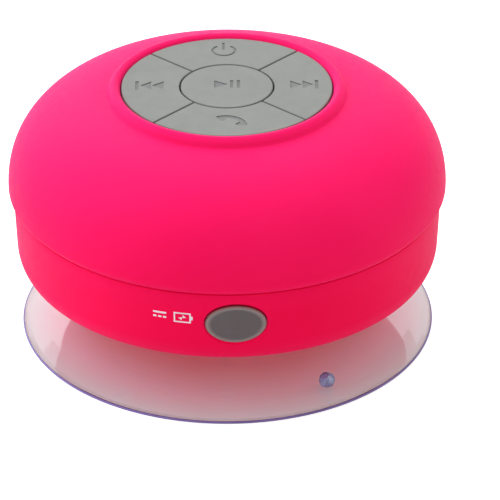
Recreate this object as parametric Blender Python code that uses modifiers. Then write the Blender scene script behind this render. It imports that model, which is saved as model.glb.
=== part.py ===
"""Shower speaker: a round rubber-coated body with five keys, standing on a clear suction cup.

Units are metres, +Z is up. The origin is the centre of the suction cup's rim plane, -Y is the
front, where the charging socket is. Each named object is one physical piece.
"""
import math

import bmesh
import bpy
from mathutils import Matrix, Vector

MM = 0.001

# ---- driving dimensions, in millimetres -------------------------------------------------------
BODY_R = 43.0            # widest radius of the dome
WIDEST_Z = 31.0          # height of the widest place
DOME_TOP_Z = 51.0        # height the dome would reach on the axis
DOME_POWER_Z = 2.12      # the dome is a superellipse with these two powers
DOME_POWER_R = 3.87
SHELL_WALL = 2.1
SEAM_Z = 29.5            # lower edge of the upper shell
SEAM_GAP = 0.3
BAND_TOP_R = 42.0
BAND_LOW_R = 41.65       # where the band starts to round under
BAND_LOW_Z = 18.7
BASE_Z = 13.6            # underside of the body
BASE_R = 37.9            # where the rounding meets the underside
FLOOR_T = 2.2
BAND_BORE_R = 39.5       # inner wall of the band

KEYPAD_R = 20.25
KEY_OPENING_R = 20.6
KEY_TOP_Z = 51.45
KEY_SKIRT_Z = 48.3
CENTRE_KEY_R = 8.95
KEY_TURN = 2.0           # degrees the cuts between the outer keys are turned from the diagonals
KEY_GAP = 0.34
KEY_PITCH_R = 14.6       # the outer keys' switches stand on this circle
NUB_R = 2.0
NUB_Z = 46.5
PLUNGER_R = 1.5
PLUNGER_TOP_Z = 46.2
PLUNGER_LOW_Z = 44.2

BOARD_TOP_Z = 42.3
BOARD_T = 1.6
BOARD_R = 30.0

PORT_X = 1.55            # charging socket, on the front of the band
PORT_Z = 22.65
PLUG_A = 5.8             # half width and half height of the oval plug
PLUG_B = 3.95
COVER_DROP = 0.35        # the cover sits this much low in its seat
SEAT_A = 6.15
SEAT_B = 4.45
SEAT_FLOOR_R = 40.2      # depth of the oval seat, as a radius from the axis
PLUG_FACE_R = 41.35
PLUG_BACK_R = 40.55
STUB_A = 3.2             # the plug's stub, which fills the hole in front of the socket
STUB_B = 2.8
TETHER_X = -3.45
SOCKET_FRONT = 38.85     # distance of the socket's face from the axis
SOCKET_DEPTH = 9.4
SOCKET_HALF_H = 3.1
SOCKET_BORE_R = 1.95
SOCKET_PIN_R = 0.6
PULL_OUT = 4.8           # how far the plug pulls out before its barb stops it
BARB_CLEAR = 0.15

SLOTS = 16               # sound slots in the base plate, and the circle through their middles
SLOT_SIZE = (8.6, 1.9, 3.0)
SLOT_R = 15.2

CUP_R = 41.1
CUP_LAND_R = 40.0        # inner edge of the flat sealing land
STEM_R = 4.9
STEM_HEAD_R = 6.8
NUB_ON_CUP_R = 35.0      # the small moulded nub stands this far out
NUB_ON_CUP_ANGLE = -56.8
NUB_ON_CUP_Z = 2.5
NUB_ON_CUP_SIZE = 1.45

CASE_SCREW_R = 33.5      # circles that the screws stand on
BASE_SCREW_R = 25.8
BOARD_SCREW_R = 27.5

OUTER_STEPS = 36
INNER_STEPS = 20
HOLE_STEPS = 12
PHASE = math.radians(4)  # turns a hole's corners away from the shells' own edges

# ---- collections and materials ----------------------------------------------------------------
for old in list(bpy.data.objects):
    bpy.data.objects.remove(old, do_unlink=True)

parts = bpy.data.collections.new("shower_speaker")
cutters = bpy.data.collections.new("cutters")
for collection in (parts, cutters):
    bpy.context.scene.collection.children.link(collection)


def material(name, colour, roughness, metallic=0.0, transmission=0.0):
    made = bpy.data.materials.new(name)
    made.use_nodes = True
    shader = made.node_tree.nodes["Principled BSDF"]
    shader.inputs["Base Color"].default_value = (*colour, 1.0)
    shader.inputs["Roughness"].default_value = roughness
    shader.inputs["Metallic"].default_value = metallic
    shader.inputs["Transmission Weight"].default_value = transmission
    made.diffuse_color = (*colour, 1.0)
    return made


PINK = material("pink_rubber_coat", (0.93, 0.01, 0.11), 0.55)
KEY_GREY = material("grey_key_rubber", (0.33, 0.36, 0.35), 0.6)
PLUG_GREY = material("grey_plug_rubber", (0.25, 0.25, 0.25), 0.6)
CLEAR = material("clear_vinyl", (0.93, 0.85, 0.9), 0.08, transmission=0.8)
DARK_PLASTIC = material("dark_plastic", (0.06, 0.06, 0.065), 0.45)
BLACK_PLASTIC = material("black_plastic", (0.02, 0.02, 0.022), 0.35)
SEAL_RUBBER = material("seal_rubber", (0.12, 0.12, 0.13), 0.7)
BOARD_GREEN = material("board_green", (0.02, 0.16, 0.06), 0.4)
STEEL = material("steel", (0.6, 0.6, 0.62), 0.3, metallic=1.0)
ZINC = material("zinc_plate", (0.7, 0.69, 0.66), 0.35, metallic=1.0)
FERRITE = material("ferrite", (0.05, 0.05, 0.055), 0.6)
PAPER = material("cone_paper", (0.03, 0.03, 0.03), 0.8)
SPIDER_CLOTH = material("spider_cloth", (0.55, 0.38, 0.12), 0.85)
COPPER = material("copper", (0.72, 0.33, 0.15), 0.35, metallic=1.0)
FOAM = material("foam", (0.1, 0.1, 0.1), 0.95)
FOIL = material("battery_foil", (0.62, 0.63, 0.65), 0.35, metallic=0.8)
RED_LEAD = material("red_lead", (0.6, 0.02, 0.02), 0.5)
BLACK_LEAD = material("black_lead", (0.02, 0.02, 0.02), 0.5)


# ---- small modelling helpers ------------------------------------------------------------------
def new_object(name, mesh, finish, collection=None, location=(0.0, 0.0, 0.0)):
    made = bpy.data.objects.new(name, mesh)
    (collection or parts).objects.link(made)
    made.location = Vector(location) * MM
    if finish:
        mesh.materials.append(finish)
    if collection is cutters:
        made.hide_render = True
        made.display_type = "WIRE"
    return made


def smooth(made, angle=35.0):
    made.data.shade_smooth()
    made.data.set_sharp_from_angle(angle=math.radians(angle))


def turned(name, profile, finish, steps=INNER_STEPS, collection=None, location=(0.0, 0.0, 0.0)):
    """Turn a profile of (radius, height) about Z. It runs down the outer side.

    A profile that starts and ends on the axis is open; any other is closed into a ring.
    """
    mesh = bpy.data.meshes.new(name)
    points = [(radius * MM, 0.0, height * MM) for radius, height in profile]
    edges = [(i, i + 1) for i in range(len(points) - 1)]
    if profile[0][0] > 0.0:
        edges.append((len(points) - 1, 0))
    mesh.from_pydata(points, edges, [])
    made = new_object(name, mesh, finish, collection, location)
    screw = made.modifiers.new("turn", "SCREW")
    screw.steps = steps
    screw.render_steps = steps
    screw.use_merge_vertices = True
    screw.merge_threshold = 0.00001
    screw.use_smooth_shade = True
    return made


def solid(name, build, finish, collection=None, location=(0.0, 0.0, 0.0)):
    """A mesh object made by build(bm), which works in millimetres round the object's origin."""
    bm = bmesh.new()
    build(bm)
    bmesh.ops.scale(bm, vec=(MM, MM, MM), verts=bm.verts)
    bmesh.ops.recalc_face_normals(bm, faces=bm.faces)
    mesh = bpy.data.meshes.new(name)
    bm.to_mesh(mesh)
    bm.free()
    made = new_object(name, mesh, finish, collection, location)
    smooth(made)
    return made


def add_box(bm, low, high):
    low = Vector(low)
    high = Vector(high)
    size = high - low
    place = Matrix.Translation((low + high) / 2) @ Matrix.Diagonal((*size, 1.0))
    bmesh.ops.create_cube(bm, size=1.0, matrix=place)


def add_cylinder(bm, radius, low_z, high_z, centre=(0.0, 0.0), steps=HOLE_STEPS):
    place = (Matrix.Translation((centre[0], centre[1], (low_z + high_z) / 2))
             @ Matrix.Rotation(PHASE, 4, "Z"))
    bmesh.ops.create_cone(bm, cap_ends=True, segments=steps, radius1=radius, radius2=radius,
                          depth=high_z - low_z, matrix=place)


def add_rod(bm, radius, length, centre_y, steps):
    """A round rod along Y, centred on X and Z."""
    place = Matrix.Translation((0.0, centre_y, 0.0)) @ Matrix.Rotation(math.radians(90), 4, "X")
    bmesh.ops.create_cone(bm, cap_ends=True, segments=steps, radius1=radius, radius2=radius,
                          depth=length, matrix=place)


def add_spoke_box(bm, size, distance, height, degrees):
    """A box that stands off the axis, turned about it."""
    place = (Matrix.Rotation(math.radians(degrees), 4, "Z") @ Matrix.Translation((distance, 0.0, height))
             @ Matrix.Diagonal((*size, 1.0)))
    bmesh.ops.create_cube(bm, size=1.0, matrix=place)


def add_oval_prism(bm, half_x, half_z, low_y, high_y, steps=28):
    """An oval prism along Y, centred on X and Z."""
    turn = Matrix.Rotation(math.radians(90), 4, "X")
    place = (Matrix.Translation((0.0, (low_y + high_y) / 2, 0.0))
             @ Matrix.Diagonal((half_x, 1.0, half_z, 1.0)) @ turn)
    bmesh.ops.create_cone(bm, cap_ends=True, segments=steps, radius1=1.0, radius2=1.0,
                          depth=high_y - low_y, matrix=place)


def add_prism(bm, outline, low_z, high_z):
    """A straight prism on a flat outline of (x, y) points."""
    low = [bm.verts.new((x, y, low_z)) for x, y in outline]
    face = bm.faces.new(low)
    lifted = bmesh.ops.extrude_face_region(bm, geom=[face])
    top = [item for item in lifted["geom"] if isinstance(item, bmesh.types.BMVert)]
    bmesh.ops.translate(bm, vec=(0.0, 0.0, high_z - low_z), verts=top)


def boolean(made, tool, operation="DIFFERENCE"):
    cut = made.modifiers.new(operation.lower(), "BOOLEAN")
    cut.operation = operation
    cut.object = tool
    cut.solver = "EXACT"
    return cut


def bevel(made, width, segments=1, angle=50.0):
    rounding = made.modifiers.new("edges", "BEVEL")
    rounding.width = width * MM
    rounding.segments = segments
    rounding.limit_method = "ANGLE"
    rounding.angle_limit = math.radians(angle)
    return rounding


def on_circle(radius, degrees):
    turn = math.radians(degrees)
    return (radius * math.cos(turn), radius * math.sin(turn))


def arc(radius_x, radius_z, centre, start, end, count):
    """Points of an elliptical arc in (radius, height); angles in degrees from the outward axis."""
    points = []
    for i in range(count + 1):
        turn = math.radians(start + (end - start) * i / count)
        points.append((centre[0] + radius_x * math.cos(turn), centre[1] + radius_z * math.sin(turn)))
    return points


def dome_height(radius, inset=0.0):
    """Height of the dome's surface at a radius; inset moves it inwards by a wall's thickness."""
    share = 1.0 - (radius / (BODY_R - inset)) ** DOME_POWER_R
    return WIDEST_Z + (DOME_TOP_Z - inset - WIDEST_Z) * share ** (1.0 / DOME_POWER_Z)


# ---- shells -----------------------------------------------------------------------------------
def make_upper_shell():
    lip = [(KEY_OPENING_R, 50.9), (20.8, 51.55), (21.35, 51.9), (22.0, 51.95), (22.65, 51.55),
           (23.05, 50.4)]
    outer_radii = (25.0, 28.5, 32.0, 35.0, 37.6, 39.8, 41.5, 42.6)
    outside = [(radius, dome_height(radius)) for radius in outer_radii]
    skirt = [(BODY_R, WIDEST_Z + 0.1), (42.85, 30.3), (42.1, SEAM_Z)]
    inner_radii = (40.4, 38.6, 35.5, 31.0, 25.0)
    inside = [(BAND_BORE_R + 0.1, SEAM_Z), (40.85, WIDEST_Z + 0.5)]
    inside += [(radius, dome_height(radius, SHELL_WALL)) for radius in inner_radii]
    inside.append((KEY_OPENING_R, dome_height(KEY_OPENING_R, SHELL_WALL)))
    shell = turned("upper_shell", lip + outside + skirt + inside, PINK, OUTER_STEPS)

    def bosses(bm):
        for turn in range(4):
            centre = on_circle(CASE_SCREW_R, 45 + 90 * turn)
            add_cylinder(bm, 2.7, BASE_Z + FLOOR_T + 0.5, 44.8, centre)
        for turn in range(3):
            centre = on_circle(BOARD_SCREW_R, 90 + 120 * turn)
            add_cylinder(bm, 1.9, BOARD_TOP_Z + 0.3, 47.4, centre)

    def pilots(bm):
        for turn in range(4):
            add_cylinder(bm, 1.3, 10.0, 25.0, on_circle(CASE_SCREW_R, 45 + 90 * turn), 10)
        for turn in range(3):
            add_cylinder(bm, 1.05, 40.0, 45.6, on_circle(BOARD_SCREW_R, 90 + 120 * turn), 10)

    boolean(shell, solid("shell_bosses", bosses, None, cutters), "UNION")
    boolean(shell, solid("shell_pilots", pilots, None, cutters))
    return shell


def make_lower_shell():
    top_z = SEAM_Z - SEAM_GAP
    outside = [(BAND_TOP_R - 0.3, top_z), (BAND_TOP_R, top_z - 0.3)]
    outside += arc(BAND_LOW_R - BASE_R, BAND_LOW_Z - BASE_Z, (BASE_R, BAND_LOW_Z), 0, -90, 6)
    ledge = [(28.4, BASE_Z), (28.4, 15.7), (23.6, 15.7), (23.6, 18.3), (29.4, 18.3), (29.4, 15.8)]
    inside = [(36.6, BASE_Z + FLOOR_T), (38.6, 16.9), (BAND_BORE_R, 19.0), (BAND_BORE_R, top_z)]
    groove = [(40.15, top_z), (40.15, top_z - 0.95), (41.2, top_z - 0.95), (41.2, top_z)]
    shell = turned("lower_shell", outside + ledge + inside + groove, PINK, OUTER_STEPS)

    def holes(bm):
        for turn in range(4):
            add_cylinder(bm, 1.35, 12.0, 17.5, on_circle(CASE_SCREW_R, 45 + 90 * turn), 12)
            add_cylinder(bm, 1.1, 14.5, 20.0, on_circle(BASE_SCREW_R, 90 * turn), 10)

    def counterbores(bm):
        for turn in range(4):
            add_cylinder(bm, 2.3, 12.0, BASE_Z + 1.1, on_circle(CASE_SCREW_R, 45 + 90 * turn))

    boolean(shell, solid("lower_shell_holes", holes, None, cutters))
    boolean(shell, solid("lower_shell_counterbores", counterbores, None, cutters))
    seat_ring = [(45.0, 30.0), (45.0, 15.0), (SEAT_FLOOR_R, 15.0), (SEAT_FLOOR_R, 30.0)]
    seat = turned("port_seat_ring", seat_ring, None, OUTER_STEPS, cutters)
    seat_oval = solid("port_seat", lambda bm: add_oval_prism(bm, SEAT_A, SEAT_B, -6.0, 6.0), None,
                      cutters, (PORT_X, -41.0, PORT_Z))
    boolean(seat_oval, seat, "INTERSECT")
    boolean(shell, seat_oval)
    hole = solid("port_hole", lambda bm: add_oval_prism(bm, STUB_A + 0.35, STUB_B + 0.35, -4.0, 4.0),
                 None, cutters, (PORT_X, -40.0, PORT_Z))
    boolean(shell, hole)
    slot = solid("tether_slot", lambda bm: add_box(bm, (-0.65, -4.0, -0.75), (0.65, 4.0, 0.75)), None,
                 cutters, (TETHER_X, -40.0, PORT_Z))
    boolean(shell, slot)
    return shell


def make_seam_gasket():
    ring = arc(0.38, 0.38, (40.68, SEAM_Z - SEAM_GAP - 0.5), 90, -180, 3)
    return turned("seam_gasket", ring, SEAL_RUBBER, OUTER_STEPS)


def make_base_plate():
    """The back cover: the sound grille and the socket that holds the suction cup's stem."""
    top = BASE_Z + 1.8
    profile = [(0.0, 19.2), (8.6, 19.2), (9.2, 18.6), (9.2, top), (20.8, top), (20.8, 18.6),
               (21.8, 18.6), (21.8, top), (28.0, top), (28.0, BASE_Z), (STEM_R + 0.4, BASE_Z),
               (STEM_R + 0.4, top), (STEM_HEAD_R + 0.45, top), (STEM_HEAD_R + 0.45, 18.0), (0.0, 18.0)]
    plate = turned("base_plate", profile, PINK, OUTER_STEPS)

    def slots(bm):
        for turn in range(SLOTS):
            add_spoke_box(bm, SLOT_SIZE, SLOT_R, BASE_Z + 0.9, 360 / SLOTS * turn)

    def holes(bm):
        for turn in range(4):
            add_cylinder(bm, 1.1, 12.0, 17.0, on_circle(BASE_SCREW_R, 90 * turn), 10)

    def counterbores(bm):
        for turn in range(4):
            add_cylinder(bm, 1.95, 12.0, BASE_Z + 0.9, on_circle(BASE_SCREW_R, 90 * turn))

    boolean(plate, solid("grille_slots", slots, None, cutters))
    boolean(plate, solid("base_plate_holes", holes, None, cutters))
    boolean(plate, solid("base_plate_counterbores", counterbores, None, cutters))
    return plate


def make_screw(name, centre, head_z, head_r, head_h, shank_r, shank_h):
    """A screw driven upwards: head below, a six-sided driving socket in its underside."""
    profile = [(0.0, head_h + shank_h), (shank_r, head_h + shank_h), (shank_r, head_h), (head_r, head_h),
               (head_r, 0.0), (head_r * 0.45, 0.0), (0.0, head_h * 0.5)]
    return turned(name, profile, ZINC, 10, location=(*centre, head_z))


def make_screws():
    for turn in range(4):
        place = on_circle(CASE_SCREW_R, 45 + 90 * turn)
        make_screw(f"case_screw_{turn + 1}", place, BASE_Z + 0.05, 1.95, 0.75, 0.95, 9.5)
        place = on_circle(BASE_SCREW_R, 90 * turn)
        make_screw(f"base_screw_{turn + 1}", place, BASE_Z + 0.05, 1.6, 0.5, 0.75, 3.6)
    for turn in range(3):
        place = on_circle(BOARD_SCREW_R, 90 + 120 * turn)
        make_screw(f"board_screw_{turn + 1}", place, BOARD_TOP_Z - BOARD_T - 1.1, 1.6, 0.8, 0.75, 4.6)


# ---- keypad -----------------------------------------------------------------------------------
def key_sector():
    """Outline of one outer key, which faces +X: two arcs joined by edges half a gap off the diagonals."""
    inner = CENTRE_KEY_R + KEY_GAP
    half = KEY_GAP / 2
    outline = []
    for radius, count, sign in ((KEYPAD_R, 10, 1), (inner, 6, -1)):
        edge = math.radians(45) - math.asin(half / radius)
        for i in range(count + 1):
            turn = sign * (-edge + 2 * edge * i / count)
            outline.append((radius * math.cos(turn), radius * math.sin(turn)))
    return outline


def make_keys():
    """Four outer keys and the centre key. Each one's origin is on its own travel axis."""
    faces = {"next_key": 0, "power_key": 90, "previous_key": 180, "phone_key": 270}
    outline = key_sector()
    for name, degrees in faces.items():
        centre = on_circle(KEY_PITCH_R, degrees)
        turn = Matrix.Rotation(math.radians(degrees + KEY_TURN), 3, "Z")

        def cap(bm):
            add_prism(bm, outline, KEY_SKIRT_Z - KEY_TOP_Z, 0.0)
            bmesh.ops.rotate(bm, matrix=turn, verts=bm.verts)
            bmesh.ops.translate(bm, vec=(-centre[0], -centre[1], 0.0), verts=bm.verts)

        finish_key(solid(name, cap, KEY_GREY, location=(*centre, KEY_TOP_Z)), name)

    def round_cap(bm):
        add_cylinder(bm, CENTRE_KEY_R, KEY_SKIRT_Z - KEY_TOP_Z, 0.0, steps=32)

    centre_key = solid("play_pause_key", round_cap, KEY_GREY, location=(0.0, 0.0, KEY_TOP_Z))
    finish_key(centre_key, "play_pause_key")


def finish_key(key, name):
    bevel(key, 0.2)

    def nub(bm):
        add_cylinder(bm, NUB_R, NUB_Z - KEY_TOP_Z, KEY_SKIRT_Z - KEY_TOP_Z + 0.6, steps=12)

    stem = solid(name + "_nub", nub, None, cutters, tuple(key.location / MM))
    boolean(key, stem, "UNION")


def key_centres():
    return {"next": on_circle(KEY_PITCH_R, 0), "power": on_circle(KEY_PITCH_R, 90),
            "previous": on_circle(KEY_PITCH_R, 180), "phone": on_circle(KEY_PITCH_R, 270),
            "play_pause": (0.0, 0.0)}


def make_switches():
    """Five tactile switches on the board: a housing with a round bore, and the plunger in it."""
    for name, centre in key_centres().items():
        low = BOARD_TOP_Z + 0.3

        def housing(bm):
            add_box(bm, (-3.0, -3.0, 0.0), (3.0, 3.0, 2.8))

        def bore(bm):
            add_cylinder(bm, PLUNGER_R + 0.35, 0.7, 4.0, steps=12)

        block = solid(f"{name}_switch", housing, BLACK_PLASTIC, location=(*centre, low))
        boolean(block, solid(f"{name}_switch_bore", bore, None, cutters, (*centre, low)))
        plunger_h = PLUNGER_TOP_Z - PLUNGER_LOW_Z

        def plunger(bm):
            add_cylinder(bm, PLUNGER_R, -plunger_h, 0.0, steps=12)

        solid(f"{name}_plunger", plunger, BLACK_PLASTIC, location=(*centre, PLUNGER_TOP_Z))


def make_keypad_web():
    """The thin sheet that seals the keypad; the keys' nubs pass through it."""
    web = turned("keypad_web", [(0.0, 47.5), (23.6, 47.5), (23.6, 46.95), (0.0, 46.95)], KEY_GREY)

    def holes(bm):
        for centre in key_centres().values():
            add_cylinder(bm, NUB_R + 0.4, 46.0, 48.5, centre, 12)

    boolean(web, solid("web_holes", holes, None, cutters))
    return web


def make_keypad_frame():
    profile = [(24.0, 47.0), (25.0, 47.0), (25.0, BOARD_TOP_Z + 0.3), (23.6, BOARD_TOP_Z + 0.3),
               (23.6, 45.7), (19.2, 45.7), (19.2, 46.6), (24.0, 46.6)]
    return turned("keypad_frame", profile, DARK_PLASTIC)


# ---- board, battery and charging --------------------------------------------------------------
def make_main_board():
    low = BOARD_TOP_Z - BOARD_T

    def disc(bm):
        add_cylinder(bm, BOARD_R, low, BOARD_TOP_Z, steps=36)

    def holes(bm):
        for turn in range(3):
            centre = on_circle(BOARD_SCREW_R, 90 + 120 * turn)
            add_cylinder(bm, 1.15, low - 1.0, BOARD_TOP_Z + 1.0, centre, 10)

    board = solid("main_board", disc, BOARD_GREEN)
    boolean(board, solid("board_holes", holes, None, cutters))
    return board


def make_box(name, centre_xy, low_z, size, finish, edge=0.0):
    half_x, half_y, height = size[0] / 2, size[1] / 2, size[2]
    made = solid(name, lambda bm: add_box(bm, (-half_x, -half_y, 0.0), (half_x, half_y, height)), finish,
                 location=(*centre_xy, low_z))
    if edge:
        bevel(made, edge)
    return made


def make_electronics():
    under = BOARD_TOP_Z - BOARD_T - 0.3
    make_box("radio_module", (0.0, 18.5), under - 1.9, (14.0, 10.0, 1.9), ZINC, 0.2)
    make_box("amplifier_chip", (-14.0, -17.0), under - 1.2, (5.0, 5.0, 1.2), BLACK_PLASTIC, 0.15)
    place = (14.0, -16.0, under - 5.4)
    solid("capacitor", lambda bm: add_cylinder(bm, 2.5, 0.0, 5.4, steps=16), ZINC, location=place)
    place = (0.0, -21.4, BOARD_TOP_Z + 0.3)
    solid("microphone", lambda bm: add_cylinder(bm, 2.0, 0.0, 1.4, steps=16), ZINC, location=place)
    make_box("battery_tape", (0.0, 0.0), under - 0.7, (26.0, 16.0, 0.7), FOAM)
    make_box("battery_cell", (0.0, 0.0), under - 5.8, (30.0, 20.0, 4.8), FOIL, 0.8)


def make_charging_socket():
    """The socket behind the plug, its centre pin, and the small board that carries both."""
    def block(bm):
        back = -SOCKET_FRONT + SOCKET_DEPTH
        add_box(bm, (-3.5, -SOCKET_FRONT, -SOCKET_HALF_H), (3.5, back, SOCKET_HALF_H))

    def bore(bm):
        add_rod(bm, SOCKET_BORE_R, 9.0, -SOCKET_FRONT + 3.5, 16)

    def pin(bm):
        add_rod(bm, SOCKET_PIN_R, 6.0, -SOCKET_FRONT + 4.7, 10)

    place = (PORT_X, 0.0, PORT_Z)
    socket = solid("charging_socket", block, BLACK_PLASTIC, location=place)
    boolean(socket, solid("charging_socket_bore", bore, None, cutters, place))
    solid("socket_pin", pin, ZINC, location=place)
    board_t = 1.2
    board_low_z = PORT_Z - SOCKET_HALF_H - 0.3 - board_t
    make_box("charging_board", (PORT_X - 0.8, -33.1), board_low_z, (11.0, 6.8, board_t), BOARD_GREEN)


def make_port_plug():
    """The oval rubber plug: a curved cover, a stub that fills the hole, and a tether with a barb."""
    ring = [(PLUG_FACE_R, 30.0), (PLUG_FACE_R, 15.0), (PLUG_BACK_R, 15.0), (PLUG_BACK_R, 30.0)]
    band = turned("plug_band", ring, None, OUTER_STEPS, cutters)
    origin = (PORT_X, -PLUG_FACE_R, PORT_Z)
    shift_y = PLUG_FACE_R

    def cover(bm):
        add_oval_prism(bm, PLUG_A, PLUG_B, -3.0, 3.0)
        bmesh.ops.translate(bm, vec=(0.0, 0.0, -COVER_DROP), verts=bm.verts)

    def stub(bm):
        add_oval_prism(bm, STUB_A, STUB_B, shift_y - 40.9, shift_y - 39.2, 20)

    plug = solid("port_plug", cover, PLUG_GREY, location=origin)
    boolean(plug, band, "INTERSECT")
    boolean(plug, solid("plug_stub", stub, None, cutters, origin), "UNION")
    wall = math.sqrt(BAND_BORE_R ** 2 - TETHER_X ** 2)
    barb_y = shift_y - wall + PULL_OUT + BARB_CLEAR
    side = TETHER_X - PORT_X

    def tether(bm):
        add_box(bm, (side - 0.3, shift_y - 40.9, -0.4), (side + 0.3, barb_y + 0.6, 0.4))

    def barb(bm):
        add_box(bm, (side - 0.35, barb_y, -1.5), (side + 0.35, barb_y + 1.0, 1.5))

    boolean(plug, solid("plug_tether", tether, None, cutters, origin), "UNION")
    boolean(plug, solid("plug_barb", barb, None, cutters, origin), "UNION")
    return plug


# ---- loudspeaker, facing down -----------------------------------------------------------------
def make_loudspeaker():
    turned("driver_gasket", [(20.1, 16.7), (20.1, 15.7), (18.1, 15.7), (18.1, 16.7)], FOAM)
    basket = [(8.0, 26.8), (12.6, 26.8), (19.2, 17.8), (20.4, 17.8), (20.4, 17.0), (18.0, 17.0),
              (18.0, 17.8), (12.2, 26.0), (8.0, 26.0)]
    frame = turned("driver_basket", basket, STEEL)

    def windows(bm):
        for turn in range(4):
            add_spoke_box(bm, (9.0, 8.0, 4.6), 16.0, 21.9, 45 + 90 * turn)

    boolean(frame, solid("basket_windows", windows, None, cutters))
    roll = arc(1.05, 1.05, (16.65, 17.2), 0, -180, 4) + arc(0.7, 0.7, (16.65, 17.2), -180, 0, 4)
    turned("driver_surround", roll, SEAL_RUBBER)
    cone = [(6.3, 23.4), (15.2, 17.8), (15.2, 17.4), (6.3, 23.0)]
    turned("driver_cone", cone, PAPER)
    cap = [(0.0, 21.75), (3.0, 22.0), (5.4, 22.95), (5.75, 22.75), (3.1, 21.65), (0.0, 21.35)]
    turned("dust_cap", cap, PAPER)
    turned("voice_coil", [(6.75, 29.4), (6.75, 23.8), (6.1, 23.8), (6.1, 29.4)], COPPER)
    spider = [(7.2, 25.2), (9.4, 25.6), (11.9, 25.2), (9.4, 25.1), (7.2, 24.8)]
    turned("driver_spider", spider, SPIDER_CLOTH)
    turned("driver_top_plate", [(13.4, 28.3), (13.4, 27.1), (7.2, 27.1), (7.2, 28.3)], STEEL)
    turned("driver_magnet", [(12.6, 31.6), (12.6, 28.6), (8.2, 28.6), (8.2, 31.6)], FERRITE)
    yoke = [(0.0, 33.4), (12.8, 33.4), (12.8, 31.9), (5.6, 31.9), (5.6, 27.0), (0.0, 27.0)]
    turned("driver_yoke", yoke, STEEL)


# ---- suction cup ------------------------------------------------------------------------------
def make_suction_cup():
    outside = [(0.0, 17.6), (6.3, 17.6), (STEM_HEAD_R, 17.1), (STEM_HEAD_R, 15.8), (STEM_R, 15.8),
               (STEM_R, 11.6), (8.4, 10.6), (10.0, 9.4), (13.5, 7.5), (18.0, 6.0), (25.0, 4.15),
               (32.0, 2.5), (37.0, 1.35), (40.3, 0.7), (CUP_R, 0.45), (CUP_R, 0.0)]
    inside = [(CUP_LAND_R, 0.0), (36.5, 0.55), (31.0, 1.7), (24.0, 3.3), (17.0, 5.1), (12.0, 6.9),
              (0.0, 7.8)]
    cup = turned("suction_cup", outside + inside, CLEAR, OUTER_STEPS)
    centre = on_circle(NUB_ON_CUP_R, NUB_ON_CUP_ANGLE)

    def nub(bm):
        bmesh.ops.create_uvsphere(bm, u_segments=12, v_segments=8, radius=NUB_ON_CUP_SIZE,
                                  matrix=Matrix.Translation((*centre, NUB_ON_CUP_Z)))

    boolean(cup, solid("cup_nub", nub, None, cutters), "UNION")
    return cup


# ---- leads ------------------------------------------------------------------------------------
def make_lead(name, route, finish, steps=10):
    """A thin insulated wire along a smooth curve through the route's points, in millimetres."""
    points = []
    count = len(route)
    for i in range(steps + 1):
        place = i / steps * (count - 1)
        k = min(int(place), count - 2)
        t = place - k
        before = Vector(route[max(k - 1, 0)])
        start = Vector(route[k])
        end = Vector(route[k + 1])
        after = Vector(route[min(k + 2, count - 1)])
        points.append(0.5 * (2 * start + (end - before) * t
                             + (2 * before - 5 * start + 4 * end - after) * t ** 2
                             + (3 * start - before - 3 * end + after) * t ** 3))
    curve = bpy.data.curves.new(name, "CURVE")
    curve.dimensions = "3D"
    curve.bevel_depth = 0.45 * MM
    curve.bevel_resolution = 1
    curve.use_fill_caps = True
    spline = curve.splines.new("POLY")
    spline.points.add(len(points) - 1)
    for slot, point in zip(spline.points, points):
        slot.co = (*(point * MM), 1.0)
    curve.materials.append(finish)
    made = bpy.data.objects.new(name, curve)
    parts.objects.link(made)
    return made


def make_leads():
    """Three pairs of wires that end just under the board."""
    end_z = BOARD_TOP_Z - BOARD_T - 0.8
    for side, name, finish in ((1, "red", RED_LEAD), (-1, "black", BLACK_LEAD)):
        battery = [(15.8, 2.5 * side, 37.0), (18.6, 2.6 * side, 36.8), (20.4, 3.0 * side, 38.2),
                   (20.8, 3.2 * side, end_z)]
        make_lead(f"battery_lead_{name}", battery, finish, 8)
        speaker = [(-17.0, 2.0 * side, 22.4), (-20.5, 2.2 * side, 25.5), (-21.5, 2.6 * side, 32.0),
                   (-20.6, 3.0 * side, end_z)]
        make_lead(f"speaker_lead_{name}", speaker, finish)
        low_x = -3.2 + 0.9 * side
        high_x = -6.0 + 1.1 * side
        charging = [(low_x, -29.2, 18.9), (low_x, -27.6, 21.5), (high_x, -26.0, 30.0),
                    (high_x, -24.6, end_z)]
        make_lead(f"charging_lead_{name}", charging, finish)


def main():
    make_upper_shell()
    make_lower_shell()
    make_seam_gasket()
    make_base_plate()
    make_screws()
    make_keys()
    make_switches()
    make_keypad_web()
    make_keypad_frame()
    make_main_board()
    make_electronics()
    make_charging_socket()
    make_port_plug()
    make_loudspeaker()
    make_suction_cup()
    make_leads()


main()
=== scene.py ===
"""Looks of the shower speaker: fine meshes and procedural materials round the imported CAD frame."""
import math

import bmesh
import bpy
from mathutils import Matrix, Vector


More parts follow.
